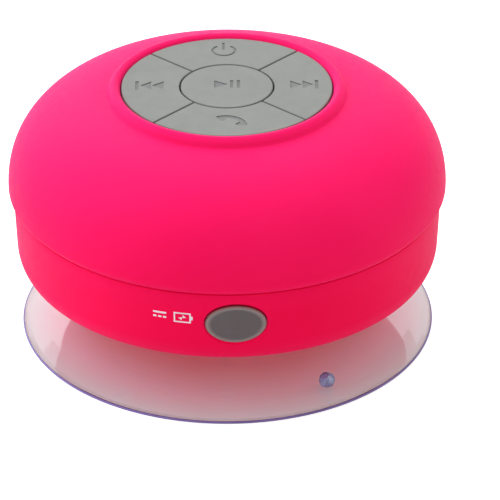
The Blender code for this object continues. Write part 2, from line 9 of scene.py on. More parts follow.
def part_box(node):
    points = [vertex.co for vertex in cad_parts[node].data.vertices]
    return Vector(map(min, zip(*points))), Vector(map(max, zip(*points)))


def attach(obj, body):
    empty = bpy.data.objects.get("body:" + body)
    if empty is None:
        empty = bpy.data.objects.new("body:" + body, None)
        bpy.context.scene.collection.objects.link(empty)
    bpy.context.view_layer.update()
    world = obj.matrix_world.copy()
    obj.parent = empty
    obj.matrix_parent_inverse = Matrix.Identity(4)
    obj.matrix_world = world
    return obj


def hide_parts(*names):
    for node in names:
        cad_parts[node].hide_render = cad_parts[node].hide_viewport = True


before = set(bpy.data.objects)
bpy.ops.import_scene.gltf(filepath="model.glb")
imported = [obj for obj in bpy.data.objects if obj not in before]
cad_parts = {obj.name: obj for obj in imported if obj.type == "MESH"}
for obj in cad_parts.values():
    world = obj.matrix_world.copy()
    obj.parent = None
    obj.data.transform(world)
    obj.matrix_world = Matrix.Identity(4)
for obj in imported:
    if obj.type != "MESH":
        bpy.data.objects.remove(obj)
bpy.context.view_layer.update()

MM = 0.001

# ---- sizes, in millimetres, read from the CAD nodes where they give them
def node_box(node):
    """A CAD node's lowest and highest corners, in millimetres."""
    return tuple(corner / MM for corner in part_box(node))


def on_circle(radius, degrees):
    turn = math.radians(degrees)
    return (radius * math.cos(turn), radius * math.sin(turn))


shell_high = node_box("upper_shell")[1]
band_low, band_high = node_box("lower_shell")
cup_low, cup_high = node_box("suction_cup")
key_high = node_box("play_pause_key")[1]
plug_low, plug_high = node_box("port_plug")

# upper shell: a superellipse dome with a raised lip round the keys
BODY_R = shell_high.x
WIDEST_Z = 31.1
DOME_TOP_Z = 51.0
DOME_POWER_Z = 2.12
DOME_POWER_R = 3.87
SHELL_WALL = 2.1
LIP_TOP_Z = shell_high.z
LIP_OUTER_R = 23.05
LIP_FOOT_R = 23.45
LIP_BEND = 0.7           # the share of the lip's outer slope that is domed; the rest is hollow

# lower shell, with the seat of the plug
SEAM_Z = band_high.z + 0.18
BAND_TOP_R = 42.0
BAND_LOW_R = 41.65
BAND_LOW_Z = 18.7
BAND_BORE_R = 39.5
TONGUE_R = 41.72
BASE_Z = band_low.z
BASE_R = 37.9
PLATE_OPENING_R = 28.4
SPEAKER_OPENING_R = 23.6
SEAT_A = 6.1
SEAT_B = 4.45
SEAT_FLOOR_R = 40.2
MARK_ANGLE = -14.3
MARK_Z = 23.8

# charging plug: half width A, half height B
PORT_X = (plug_low.x + plug_high.x) / 2
PLUG_A = 5.92
PLUG_B = 3.95
PLUG_Z = (plug_low.z + plug_high.z) / 2
PORT_Z = PLUG_Z + 0.35
PLUG_FACE_R = 41.35
PLUG_BACK_R = 40.55
STUB_A = 3.2
STUB_B = 2.8
TETHER_X = -3.45

# keys
KEY_OPENING_R = 20.6
KEYPAD_R = 20.45
KEY_TURN = 2.0           # the cuts between the outer keys stand this far off the diagonals, in degrees
KEY_TOP_Z = key_high.z
KEY_SKIRT_Z = 48.3
CENTRE_KEY_R = key_high.x
KEY_GAP = 0.34
KEY_PITCH_R = 14.6
KEY_ANGLES = {"next": 0, "power": 90, "previous": 180, "phone": 270}
KEY_CENTRES = {name: on_circle(KEY_PITCH_R, angle) for name, angle in KEY_ANGLES.items()}
KEY_CENTRES["play_pause"] = (0.0, 0.0)
NUB_R = 2.0
ICON_DEPTH = 0.16

# suction cup
CUP_R = cup_high.x
RIM_R = CUP_R - 0.3
CUP_FLAT_R = 9.0         # the soft sheet lies a little unevenly between these two radii
CUP_LAND_R = 39.5
CUP_LEAN = 0.8
CUP_NUB_PLACE = (*on_circle(35.0, -56.8), 2.5)
CUP_NUB_R = 1.62

# board and screws
BOARD_TOP_Z = 42.3
BOARD_LOW_Z = 40.7
CASE_SCREWS = [on_circle(33.5, 45 + 90 * turn) for turn in range(4)]
BASE_SCREWS = [on_circle(25.8, 90 * turn) for turn in range(4)]
BOARD_SCREWS = [on_circle(27.5, 90 + 120 * turn) for turn in range(3)]

# light
BASE_LIGHT = 0.37        # even brightness of the white studio
LOBE_FOCUS = 4.0         # how tightly each brighter area of the studio is gathered
FLOOR_GLOW = 0.28        # the white table shines this much through the clear cup
DIRECT_GLOW = 2.2        # and this many times as much where it is seen directly

# steps round a turned piece
FINE = 192
MEDIUM = 96


# ---- mesh helpers
def rounded(corners, steps=5):
    """A line of (radius, height, rounding) corners as plain points, each corner rounded by an arc."""
    points = []
    for i, (x, z, rounding) in enumerate(corners):
        here = Vector((x, z))
        if rounding <= 0.0 or i in (0, len(corners) - 1):
            points.append((x, z))
            continue
        before = (Vector(corners[i - 1][:2]) - here)
        after = (Vector(corners[i + 1][:2]) - here)
        angle = before.angle(after)
        reach = min(rounding / math.tan(angle / 2), before.length * 0.49, after.length * 0.49)
        start = here + before.normalized() * reach
        end = here + after.normalized() * reach
        centre = here + (before.normalized() + after.normalized()).normalized() * reach / math.cos(angle / 2)
        sweep = (start - centre).angle(end - centre)
        for k in range(steps + 1):
            share = k / steps
            a = math.sin((1 - share) * sweep) / math.sin(sweep)
            b = math.sin(share * sweep) / math.sin(sweep)
            point = centre + (start - centre) * a + (end - centre) * b
            points.append((point.x, point.y))
    return points


def subdivided(start, end, count):
    """Points from start to end, without end."""
    return [(start[0] + (end[0] - start[0]) * i / count, start[1] + (end[1] - start[1]) * i / count)
            for i in range(count)]


def arc(radius_x, radius_z, centre, start, end, count):
    """Points of an ellipse between two angles in degrees."""
    points = []
    for i in range(count + 1):
        turn = math.radians(start + (end - start) * i / count)
        points.append((centre[0] + radius_x * math.cos(turn), centre[1] + radius_z * math.sin(turn)))
    return points


def add_object(name, data):
    made = bpy.data.objects.new(name, data)
    bpy.context.scene.collection.objects.link(made)
    return made


def final_mesh(made):
    """A new mesh of an object as it looks with its modifiers or curve settings."""
    bpy.context.view_layer.update()
    return bpy.data.meshes.new_from_object(made.evaluated_get(bpy.context.evaluated_depsgraph_get()))


def from_bmesh(name, bm, location=(0.0, 0.0, 0.0)):
    """A mesh object from a bmesh in millimetres."""
    bmesh.ops.remove_doubles(bm, verts=bm.verts, dist=0.0005)
    bmesh.ops.recalc_face_normals(bm, faces=bm.faces)
    bmesh.ops.scale(bm, vec=(MM, MM, MM), verts=bm.verts)
    mesh = bpy.data.meshes.new(name)
    bm.to_mesh(mesh)
    bm.free()
    made = add_object(name, mesh)
    made.location = Vector(location) * MM
    return made


def lathe(name, profile, steps=MEDIUM, location=(0.0, 0.0, 0.0)):
    """Turn a profile of (radius, height) about Z. One that starts off the axis is closed into a ring."""
    bm = bmesh.new()
    rings = []
    for radius, height in profile:
        if radius < 1e-6:
            rings.append([bm.verts.new((0.0, 0.0, height))] * steps)
        else:
            rings.append([bm.verts.new((*on_circle(radius, 360 * i / steps), height)) for i in range(steps)])
    pairs = list(zip(rings, rings[1:]))
    if profile[0][0] > 1e-6:
        pairs.append((rings[-1], rings[0]))
    for upper, lower in pairs:
        for i in range(steps):
            corners = []
            for vert in (upper[i], lower[i], lower[(i + 1) % steps], upper[(i + 1) % steps]):
                if vert not in corners:
                    corners.append(vert)
            if len(corners) > 2:
                bm.faces.new(corners)
    return from_bmesh(name, bm, location)


def add_loft(bm, rings):
    """Add a closed solid through rings of points that all have the same count, capped at both ends."""
    loops = [[bm.verts.new(point) for point in ring] for ring in rings]
    for first, second in zip(loops, loops[1:]):
        for i in range(len(first)):
            k = (i + 1) % len(first)
            bm.faces.new((first[i], first[k], second[k], second[i]))
    bm.faces.new(loops[0])
    bm.faces.new(loops[-1])


def loft(name, rings, location=(0.0, 0.0, 0.0)):
    bm = bmesh.new()
    add_loft(bm, rings)
    return from_bmesh(name, bm, location)


def prism(name, outline, low_z, high_z):
    return loft(name, [[(x, y, z) for x, y in outline] for z in (low_z, high_z)])


def rounded_box(name, low, high, edge, segments=3):
    """A box with all its edges rounded."""
    low, high = Vector(low), Vector(high)
    bm = bmesh.new()
    at = Matrix.Translation((low + high) / 2) @ Matrix.Diagonal((*(high - low), 1.0))
    bmesh.ops.create_cube(bm, size=1.0, matrix=at)
    bmesh.ops.bevel(bm, geom=bm.edges, offset=edge, segments=segments, profile=0.5, affect="EDGES")
    return from_bmesh(name, bm)


def rod(name, radius, start_y, end_y, centre):
    """A round rod along Y."""
    bm = bmesh.new()
    middle = Matrix.Translation((centre[0], (start_y + end_y) / 2, centre[1]))
    bmesh.ops.create_cone(bm, cap_ends=True, segments=48, radius1=radius, radius2=radius,
                          depth=abs(end_y - start_y), matrix=middle @ Matrix.Rotation(math.pi / 2, 4, "X"))
    return from_bmesh(name, bm)


def spokes(name, outline, low_z, high_z, count):
    """The same upright prism repeated round the axis."""
    bm = bmesh.new()
    for turn in range(count):
        turned = turned_by(outline, 360 / count * turn)
        add_loft(bm, [[(x, y, z) for x, y in turned] for z in (low_z, high_z)])
    return from_bmesh(name, bm)


def tube(name, route, radius, steps=36):
    """A round wire on a smooth curve through the route's points."""
    curve = bpy.data.curves.new(name, "CURVE")
    curve.dimensions = "3D"
    curve.bevel_depth = radius * MM
    curve.bevel_resolution = 4
    curve.use_fill_caps = True
    spline = curve.splines.new("POLY")
    spline.points.add(steps)
    last = len(route) - 1
    for i, slot in enumerate(spline.points):
        whole = i / steps * last
        k = min(int(whole), last - 1)
        t = whole - k
        before, start, end, after = (Vector(route[min(max(k + j, 0), last)]) for j in (-1, 0, 1, 2))
        point = 0.5 * (2 * start + (end - before) * t + (2 * before - 5 * start + 4 * end - after) * t ** 2
                       + (3 * start - before - 3 * end + after) * t ** 3)
        slot.co = (*(point * MM), 1.0)
    drawn = add_object(name, curve)
    mesh = final_mesh(drawn)
    bpy.data.objects.remove(drawn, do_unlink=True)
    return add_object(name, mesh)


def wrapped_oval(name, sections, steps=72, centre_z=PORT_Z):
    """A loft of ovals wrapped round the body's axis; each section is (radius, half width, half height)."""
    rings = []
    for radius, half_x, half_z in sections:
        ring = []
        for i in range(steps):
            turn = 2 * math.pi * i / steps
            side = (PORT_X + half_x * math.cos(turn)) / PLUG_FACE_R
            height = centre_z + half_z * math.sin(turn)
            ring.append((radius * math.sin(side), -radius * math.cos(side), height))
        rings.append(ring)
    return loft(name, rings)


def bake(made):
    """Apply every modifier on an object."""
    old = made.data
    mesh = final_mesh(made)
    made.modifiers.clear()
    made.data = mesh
    bpy.data.meshes.remove(old)


def boolean(made, tool, operation="DIFFERENCE"):
    """Cut or join with a tool, which is then deleted; cut faces take the tool's material if it has one."""
    cut = made.modifiers.new("cut", "BOOLEAN")
    cut.operation = operation
    cut.object = tool
    cut.solver = "EXACT"
    cut.material_mode = "TRANSFER"
    bake(made)
    bpy.data.objects.remove(tool, do_unlink=True)


def shade(made, angle=32.0, flat_tops=False):
    """Smooth shading with sharp creases; flat_tops keeps large flat faces flat beside small roundings."""
    made.data.shade_smooth()
    made.data.set_sharp_from_angle(angle=math.radians(angle))
    if flat_tops:
        weighted = made.modifiers.new("flat_tops", "WEIGHTED_NORMAL")
        weighted.keep_sharp = True
        weighted.weight = 90
        bake(made)
    return made


def cylinders(name, places, radius, low_z, high_z, steps=32):
    """Several separate upright cylinders in one object, to cut a piece with or join to it."""
    bm = bmesh.new()
    for x, y in places:
        # turned a little, so that its corners don't meet those of the turned piece that it cuts
        at = Matrix.Translation((x, y, (low_z + high_z) / 2)) @ Matrix.Rotation(math.radians(1.3), 4, "Z")
        bmesh.ops.create_cone(bm, cap_ends=True, segments=steps, radius1=radius, radius2=radius,
                              depth=high_z - low_z, matrix=at)
    return from_bmesh(name, bm)


def place(made, body, slot, finish, *nodes):
    """Give a piece its material and body, and hide the CAD nodes that it stands for; slot is not used."""
    if finish is not None:
        made.data.materials.clear()
        made.data.materials.append(finish)
    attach(made, body)
    if nodes:
        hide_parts(*nodes)


def place_turned(node, profile, body, slot, finish, crease=40, steps=MEDIUM):
    """A turned piece that stands for one CAD node."""
    place(shade(lathe(f"{node}_fine", profile, steps), crease), body, slot, finish, node)


# ---- materials
def add_node(tree, kind, inputs, **settings):
    """A shader node; each of its inputs is given a value or linked to another node's output."""
    made = tree.nodes.new(kind)
    for key, value in settings.items():
        setattr(made, key, value)
    for socket, value in inputs.items():
        if isinstance(value, bpy.types.NodeSocket):
            tree.links.new(value, made.inputs[socket])
        else:
            made.inputs[socket].default_value = value
    return made


class Finish:
    """A Principled material and short calls that add procedural nodes to it."""

    def __init__(self, name, colour, roughness, metallic=0.0):
        self.material = bpy.data.materials.new(name)
        self.material.use_nodes = True
        self.tree = self.material.node_tree
        self.shader = self.tree.nodes["Principled BSDF"]
        self.set("Base Color", (*colour, 1.0))
        self.set("Roughness", roughness)
        self.set("Metallic", metallic)
        self.colour = colour
        self.place = self.node("ShaderNodeTexCoord", {}).outputs["Object"]

    def node(self, kind, inputs, **settings):
        return add_node(self.tree, kind, inputs, **settings)

    def link(self, source, target):
        self.tree.links.new(source, target)

    def set(self, socket, value):
        self.shader.inputs[socket].default_value = value

    def noise(self, scale, detail=3.0, roughness=0.5, stretch=None):
        place = self.place
        if stretch is not None:
            place = self.node("ShaderNodeMapping", {"Scale": stretch, "Vector": place}).outputs["Vector"]
        inputs = {"Scale": scale, "Detail": detail, "Roughness": roughness, "Vector": place}
        return self.node("ShaderNodeTexNoise", inputs).outputs["Fac"]

    def axes(self):
        """The object's own X, Y and Z at each point, in metres."""
        return self.node("ShaderNodeSeparateXYZ", {0: self.place}).outputs

    def cells(self, scale, feature="F1"):
        inputs = {"Scale": scale, "Vector": self.place}
        return self.node("ShaderNodeTexVoronoi", inputs, feature=feature).outputs["Distance"]

    def waves(self, direction, scale, distortion=0.0):
        inputs = {"Scale": scale, "Distortion": distortion, "Vector": self.place}
        made = self.node("ShaderNodeTexWave", inputs, wave_type="BANDS", bands_direction=direction)
        return made.outputs["Fac"]

    def spread(self, source, low, high, from_low=0.3, from_high=0.7):
        inputs = {"From Min": from_low, "From Max": from_high, "To Min": low, "To Max": high, "Value": source}
        return self.node("ShaderNodeMapRange", inputs).outputs["Result"]

    def math(self, operation, first, second=0.0):
        return self.node("ShaderNodeMath", {0: first, 1: second}, operation=operation).outputs[0]

    def sum_of_squares(self, first, second):
        return self.math("ADD", self.math("MULTIPLY", first, first), self.math("MULTIPLY", second, second))

    def mix(self, share, first, second):
        """A colour between two colours; the node's colour sockets are numbers 6 and 7."""
        first, second = ((*value, 1.0) if isinstance(value, tuple) else value for value in (first, second))
        inputs = {"Factor": share, 6: first, 7: second}
        return self.node("ShaderNodeMix", inputs, data_type="RGBA").outputs[2]

    def tint(self, scale, low, high):
        """Uneven colour: the base colour between two brightnesses, by noise."""
        share = self.spread(self.noise(scale), 0.0, 1.0)
        first = tuple(min(part * low, 1.0) for part in self.colour)
        second = tuple(min(part * high, 1.0) for part in self.colour)
        return self.mix(share, first, second)

    def paint(self, colour):
        self.link(colour, self.shader.inputs["Base Color"])

    def rough(self, source, low, high):
        self.link(self.spread(source, low, high), self.shader.inputs["Roughness"])

    def bump(self, source, depth_mm, strength=1.0):
        inputs = {"Strength": strength, "Distance": depth_mm * MM, "Height": source}
        self.link(self.node("ShaderNodeBump", inputs).outputs["Normal"], self.shader.inputs["Normal"])


def moulded(name, colour, roughness, grain=2600.0, depth=0.01, uneven=0.06):
    """A moulded or cast surface: fine grain, uneven gloss and a little uneven colour."""
    made = Finish(name, colour, roughness)
    made.paint(made.tint(90.0, 1.0 - uneven, 1.0 + uneven))
    made.rough(made.noise(420.0), roughness * 0.88, min(roughness * 1.14, 1.0))
    made.bump(made.noise(grain, 2.0), depth)
    return made


def pink_coat():
    """Soft-touch rubber paint: a deep pink with a painted sheen that turns it bluer toward the top, and a
    faint violet bloom edge-on.
    """
    made = Finish("pink_soft_touch", (0.93, 0.0008, 0.062), 0.5)
    # painted sheen: green and blue rise from 24 to 49 mm up, for the light on the upper dome; the noise mix
    # of the two colours is uneven tone
    height = made.spread(made.axes()[2], 0.0, 1.0, 24.0 * MM, 49.0 * MM)
    fresh_and_painted_sheen = made.mix(height, (0.92, 0.0002, 0.034), (0.93, 0.008, 0.1))
    worn_and_painted_sheen = made.mix(height, (0.95, 0.0004, 0.04), (0.95, 0.011, 0.108))
    made.paint(made.mix(made.spread(made.noise(55.0, 2.0), 0.0, 1.0), fresh_and_painted_sheen, worn_and_painted_sheen))
    made.rough(made.noise(700.0, 3.0), 0.44, 0.54)
    made.bump(made.noise(5200.0, 2.0), 0.006)
    made.set("Specular IOR Level", 0.06)
    made.set("Specular Tint", (0.5, 0.25, 1.0, 1.0))
    made.set("Sheen Weight", 0.12)
    made.set("Sheen Roughness", 0.8)
    made.set("Sheen Tint", (0.8, 0.1, 0.9, 1.0))
    return made.material


def soft_gloss(made):
    """Silicone rubber's weak highlight and dusty sheen."""
    made.set("Specular IOR Level", 0.3)
    made.set("Sheen Weight", 0.12)
    made.set("Sheen Roughness", 0.5)
    return made.material


def key_rubber(name, colour, roughness=0.62):
    return soft_gloss(moulded(name, colour, roughness, 4200.0, 0.008, uneven=0.03))


def plug_rubber():
    """The plug's darker rubber, with a painted highlight that makes it paler toward its edge."""
    made = Finish("grey_plug_rubber", (0.118, 0.1, 0.099), 0.62)
    x, _, z = made.axes()
    across = made.math("DIVIDE", made.math("SUBTRACT", x, PORT_X * MM), PLUG_A * MM)
    up = made.math("DIVIDE", made.math("SUBTRACT", z, PLUG_Z * MM), PLUG_B * MM)
    # painted highlight: a paler ring toward the edge of the oval, where the rounded rim catches light
    edge = made.spread(made.sum_of_squares(across, up), 0.0, 1.0, 0.62, 0.93)
    made.paint(made.mix(edge, made.tint(90.0, 0.94, 1.06), (0.36, 0.31, 0.29)))
    made.rough(made.noise(420.0), 0.54, 0.7)
    made.bump(made.noise(4200.0, 2.0), 0.008)
    return soft_gloss(made)


def clear_vinyl():
    """Clear soft vinyl, its colour painted: deep pink in the middle for the painted reflection of the pink
    body and the painted pink shade under it, and paler and cooler toward the edge.
    """
    made = Finish("clear_vinyl_sheet", (0.97, 0.9, 0.93), 0.03)
    x, y, _ = made.axes()
    radius = made.math("SQRT", made.sum_of_squares(x, y))
    # painted reflection and shade: deep pink near the body, lighter pink further out, pale and cool at the
    # edge
    middle = made.spread(radius, 0.0, 1.0, 25.0 * MM, 33.0 * MM)
    edge = made.spread(radius, 0.0, 1.0, 33.0 * MM, CUP_LAND_R * MM)
    sheet = made.mix(edge, made.mix(middle, (0.96, 0.28, 0.33), (1.0, 0.61, 0.69)), (0.87, 0.79, 0.81))
    made.paint(made.mix(made.spread(made.noise(60.0, 2.0), 0.0, 0.08), sheet, (0.9, 0.86, 0.97)))
    made.set("Transmission Weight", 1.0)
    made.set("IOR", 1.5)
    made.rough(made.noise(200.0, 2.0), 0.02, 0.05)
    made.bump(made.noise(70.0, 2.0), 0.02, 0.5)
    return made.material


def nub_vinyl():
    """The nub's thicker vinyl, which looks bluer and a little milky."""
    made = Finish("clear_vinyl_nub", (0.4, 0.55, 1.0), 0.03)
    made.set("Transmission Weight", 0.7)
    made.set("IOR", 2.1)
    made.rough(made.noise(900.0, 2.0), 0.01, 0.04)
    return made.material


def rim_vinyl():
    """The rim seen edge-on, painted opaque dark violet for the vinyl's gathered tint and the shade along its
    edge.
    """
    made = Finish("clear_vinyl_rim", (0.18, 0.13, 0.37), 0.2)
    made.paint(made.tint(120.0, 0.9, 1.1))
    made.rough(made.noise(400.0), 0.16, 0.26)
    made.bump(made.noise(300.0, 2.0), 0.01)
    return made.material


def board_green():
    """Solder mask with copper tracks showing through and tinned pads."""
    made = Finish("solder_mask", (0.012, 0.12, 0.045), 0.32)
    inputs = {"Scale": 260.0, "Mortar Size": 0.06, "Vector": made.place}
    bricks = made.node("ShaderNodeTexBrick", inputs).outputs["Fac"]
    tracks = made.mix(bricks, (0.01, 0.1, 0.038), (0.03, 0.24, 0.07))
    pads = made.spread(made.cells(420.0), 1.0, 0.0, 0.12, 0.16)
    made.paint(made.mix(pads, tracks, (0.62, 0.6, 0.52)))
    made.link(pads, made.shader.inputs["Metallic"])
    made.bump(bricks, 0.03)
    return made.material


def winding():
    """Enamelled copper wire, wound in fine turns round the axis."""
    made = Finish("copper_winding", (0.7, 0.3, 0.12), 0.3, 1.0)
    turns = made.waves("Z", 1600.0, 0.2)
    made.paint(made.mix(turns, (0.35, 0.11, 0.04), (0.8, 0.36, 0.15)))
    made.bump(turns, 0.05)
    return made.material


def spider_cloth():
    """Resin-stiffened cotton: a plain weave."""
    made = Finish("spider_weave", (0.5, 0.34, 0.12), 0.85)
    weave = made.math("MAXIMUM", made.waves("X", 900.0), made.waves("Y", 900.0))
    made.paint(made.mix(weave, (0.3, 0.19, 0.06), (0.6, 0.42, 0.16)))
    made.bump(weave, 0.05)
    return made.material


def sheet_metal(name, colour, roughness=0.3):
    """Rolled and plated sheet: fine rolling lines and uneven gloss."""
    made = Finish(name, colour, roughness, 1.0)
    lines = made.noise(900.0, 2.0, stretch=(0.06, 1.0, 1.0))
    made.paint(made.mix(made.spread(lines, 0.0, 1.0), tuple(c * 0.85 for c in colour), colour))
    made.rough(lines, roughness * 0.7, roughness * 1.5)
    made.bump(lines, 0.008)
    return made.material


def foil():
    made = Finish("pouch_foil", (0.6, 0.61, 0.63), 0.34, 0.9)
    creases = made.cells(260.0, "SMOOTH_F1")
    made.paint(made.tint(140.0, 0.86, 1.06))
    made.rough(made.noise(300.0), 0.26, 0.46)
    made.bump(creases, 0.12)
    return made.material


def fibre(name, colour, depth=0.05):
    """Pressed paper pulp: long strands, lighter and darker."""
    made = Finish(name, colour, 0.85)
    strands = made.noise(1400.0, 4.0, 0.7, stretch=(1.0, 0.35, 1.0))
    dark, light = (tuple(part * share for part in colour) for share in (0.6, 1.6))
    made.paint(made.mix(made.spread(strands, 0.0, 1.0), dark, light))
    made.bump(strands, depth)
    return made.material


def foam_rubber():
    made = Finish("closed_cell_foam", (0.045, 0.045, 0.05), 0.95)
    cells = made.cells(2400.0)
    made.paint(made.mix(made.spread(cells, 0.0, 1.0, 0.0, 0.6), (0.02, 0.02, 0.022), (0.07, 0.07, 0.075)))
    made.bump(cells, 0.08)
    return made.material


PINK = pink_coat()
KEY_GREY = key_rubber("grey_key_rubber", (0.204, 0.213, 0.192))
# a darker grey for the engraved marks on the keys: painted shade in the recesses
ICON_GREY = key_rubber("grey_icon_rubber", (0.17, 0.176, 0.168), 0.7)
PLUG_GREY = plug_rubber()
CLEAR = clear_vinyl()
NUB = nub_vinyl()
RIM = rim_vinyl()
INK = moulded("white_pad_print", (0.86, 0.78, 0.82), 0.5, 3000.0, 0.004).material
DARK = moulded("dark_textured_plastic", (0.045, 0.045, 0.05), 0.5, 1500.0, 0.03).material
BLACK = moulded("black_moulded_plastic", (0.018, 0.018, 0.02), 0.36).material
SEAL = moulded("seal_rubber_black", (0.035, 0.035, 0.038), 0.68, 1800.0, 0.02).material
BOARD = board_green()
STEEL = sheet_metal("zinc_plated_steel", (0.62, 0.62, 0.64))
PLATED = sheet_metal("bright_plated_metal", (0.72, 0.71, 0.69), 0.24)
FERRITE = moulded("sintered_ferrite", (0.04, 0.04, 0.043), 0.6, 900.0, 0.05).material
PAPER = fibre("treated_cone_paper", (0.022, 0.022, 0.024))
SPIDER = spider_cloth()
COPPER = winding()
FOAM = foam_rubber()
FOIL = foil()
LEAD_RED = moulded("red_lead_insulation", (0.55, 0.012, 0.015), 0.42).material
LEAD_BLACK = moulded("black_lead_insulation", (0.016, 0.016, 0.018), 0.42).material


# ---- shells
def dome_point(turn, inset=0.0):
    """A point of the dome's superellipse; turn runs from 0 at the widest place to 90 degrees on top."""
    turn = math.radians(turn)
    radius = (BODY_R - inset) * math.cos(turn) ** (2 / DOME_POWER_R)
    height = WIDEST_Z + (DOME_TOP_Z - inset - WIDEST_Z) * math.sin(turn) ** (2 / DOME_POWER_Z)
    return (radius, height)


def dome_turn(radius, inset=0.0):
    return math.degrees(math.acos((radius / (BODY_R - inset)) ** (DOME_POWER_R / 2)))


def make_upper_shell():
    foot_turn = dome_turn(LIP_FOOT_R)
    foot_z = dome_point(foot_turn)[1]
    under_lip_z = dome_point(dome_turn(KEY_OPENING_R, SHELL_WALL), SHELL_WALL)[1]
    bead_r = (KEY_OPENING_R + LIP_OUTER_R) / 2
    bead_low_z = foot_z + 0.3
    lip = [(KEY_OPENING_R, under_lip_z + 0.6)]
    lip += arc(bead_r - KEY_OPENING_R, LIP_TOP_Z - bead_low_z, (bead_r, bead_low_z), 180, 90, 12)
    flattening = (1.0 + LIP_BEND) / (1.0 - LIP_BEND)
    for i in range(1, 21):
        share = i / 20
        fall = share ** 2 if share < LIP_BEND else 1.0 - flattening * (1.0 - share) ** 2
        lip.append((bead_r + (LIP_FOOT_R - bead_r) * share, LIP_TOP_Z + (foot_z - LIP_TOP_Z) * fall))
    outside = [dome_point(foot_turn * (1 - i / 72)) for i in range(1, 73)]
    skirt = [(BODY_R - 0.9 * (i / 10) ** 2, WIDEST_Z - 0.1 - 1.35 * i / 10) for i in range(0, 11)]
    edge = rounded([(BODY_R - 0.95, SEAM_Z + 0.22, 0), (BAND_TOP_R, SEAM_Z, 0.16),
                    (BAND_TOP_R - 0.7, SEAM_Z, 0)], 4)
    inside = [(BAND_BORE_R + 0.1, SEAM_Z), (BODY_R - SHELL_WALL, WIDEST_Z + 0.4)]
    inside += [dome_point(turn, SHELL_WALL) for turn in (4, 12, 22, 34, 46, 56, 64)]
    inside += [(KEY_OPENING_R, under_lip_z)]
    shell = lathe("upper_shell_fine", lip + outside + skirt + edge + inside, FINE)
    boolean(shell, cylinders("case_bosses", CASE_SCREWS, 2.7, BASE_Z + 2.7, 44.8), "UNION")
    boolean(shell, cylinders("board_posts", BOARD_SCREWS, 1.9, BOARD_TOP_Z + 0.3, 47.4), "UNION")
    boolean(shell, cylinders("case_pilots", CASE_SCREWS, 1.3, 10.0, 25.0))
    boolean(shell, cylinders("board_pilots", BOARD_SCREWS, 1.05, 40.0, 45.6))
    place(shade(shell, 38), "case", "pink_coat", PINK, "upper_shell")


def beam(name, half_x, sections):
    """A bar along the plug's tether; each section is (Y, half height)."""
    rings = []
    for y, half_z in sections:
        outline = bar(TETHER_X - half_x, PORT_Z - half_z, TETHER_X + half_x, PORT_Z + half_z)
        rings.append([(x, y, z) for x, z in outline])
    return loft(name, rings)


def make_lower_shell():
    top = band_high.z
    ledge_low_z, ledge_high_z, ledge_r = 15.7, 18.3, 29.4
    floor_z = 15.8
    groove_in_r, groove_out_r, groove_z = 40.15, 41.2, top - 0.95
    outside = rounded([(TONGUE_R + 0.05, top, 0), (BAND_TOP_R, top, 0.14), (BAND_TOP_R, top - 1.4, 0)], 4)
    outside += subdivided((BAND_TOP_R, top - 1.5), (BAND_LOW_R, BAND_LOW_Z), 14)
    outside += arc(BAND_LOW_R - BASE_R, BAND_LOW_Z - BASE_Z, (BASE_R, BAND_LOW_Z), 0, -90, 26)
    under = [(BASE_R - 1.0, BASE_Z, 0), (PLATE_OPENING_R, BASE_Z, 0.3), (PLATE_OPENING_R, ledge_low_z, 0),
             (SPEAKER_OPENING_R, ledge_low_z, 0), (SPEAKER_OPENING_R, ledge_high_z, 0.2),
             (ledge_r, ledge_high_z, 0.2), (ledge_r, floor_z, 0.3), (36.6, floor_z, 0.8), (38.6, 16.9, 1.0),
             (BAND_BORE_R, 19.0, 0.8), (BAND_BORE_R, top, 0.1)]
    groove = [(groove_in_r, top, 0), (groove_in_r, groove_z, 0.2), (groove_out_r, groove_z, 0.2),
              (groove_out_r, SEAM_Z - 0.05, 0.05), (TONGUE_R, SEAM_Z - 0.05, 0.05), (TONGUE_R, top, 0.08)]
    band = lathe("lower_shell_fine", outside + rounded(under + groove, 4), FINE)
    boolean(band, cylinders("screw_holes", CASE_SCREWS, 1.35, 12.0, 17.5))
    boolean(band, cylinders("screw_recesses", CASE_SCREWS, 2.3, 12.0, BASE_Z + 1.1))
    boolean(band, cylinders("plate_holes", BASE_SCREWS, 1.1, 14.5, 20.0))
    seat = [(SEAT_FLOOR_R, SEAT_A - 0.2, SEAT_B - 0.55), (40.9, SEAT_A - 0.15, SEAT_B - 0.5),
            (41.2, SEAT_A - 0.08, SEAT_B - 0.3), (41.55, SEAT_A, SEAT_B - 0.06),
            (41.8, SEAT_A + 0.06, SEAT_B + 0.06), (42.6, SEAT_A + 0.4, SEAT_B + 0.5)]
    boolean(band, wrapped_oval("seat_cut", seat))
    hole = [(radius, STUB_A + 0.35, STUB_B + 0.35) for radius in (38.0, 41.0)]
    boolean(band, wrapped_oval("hole_cut", hole))
    boolean(band, beam("slot_cut", 0.65, [(-43.0, 0.75), (-37.0, 0.75)]))
    place(shade(band, 38), "case", "pink_coat", PINK, "lower_shell")


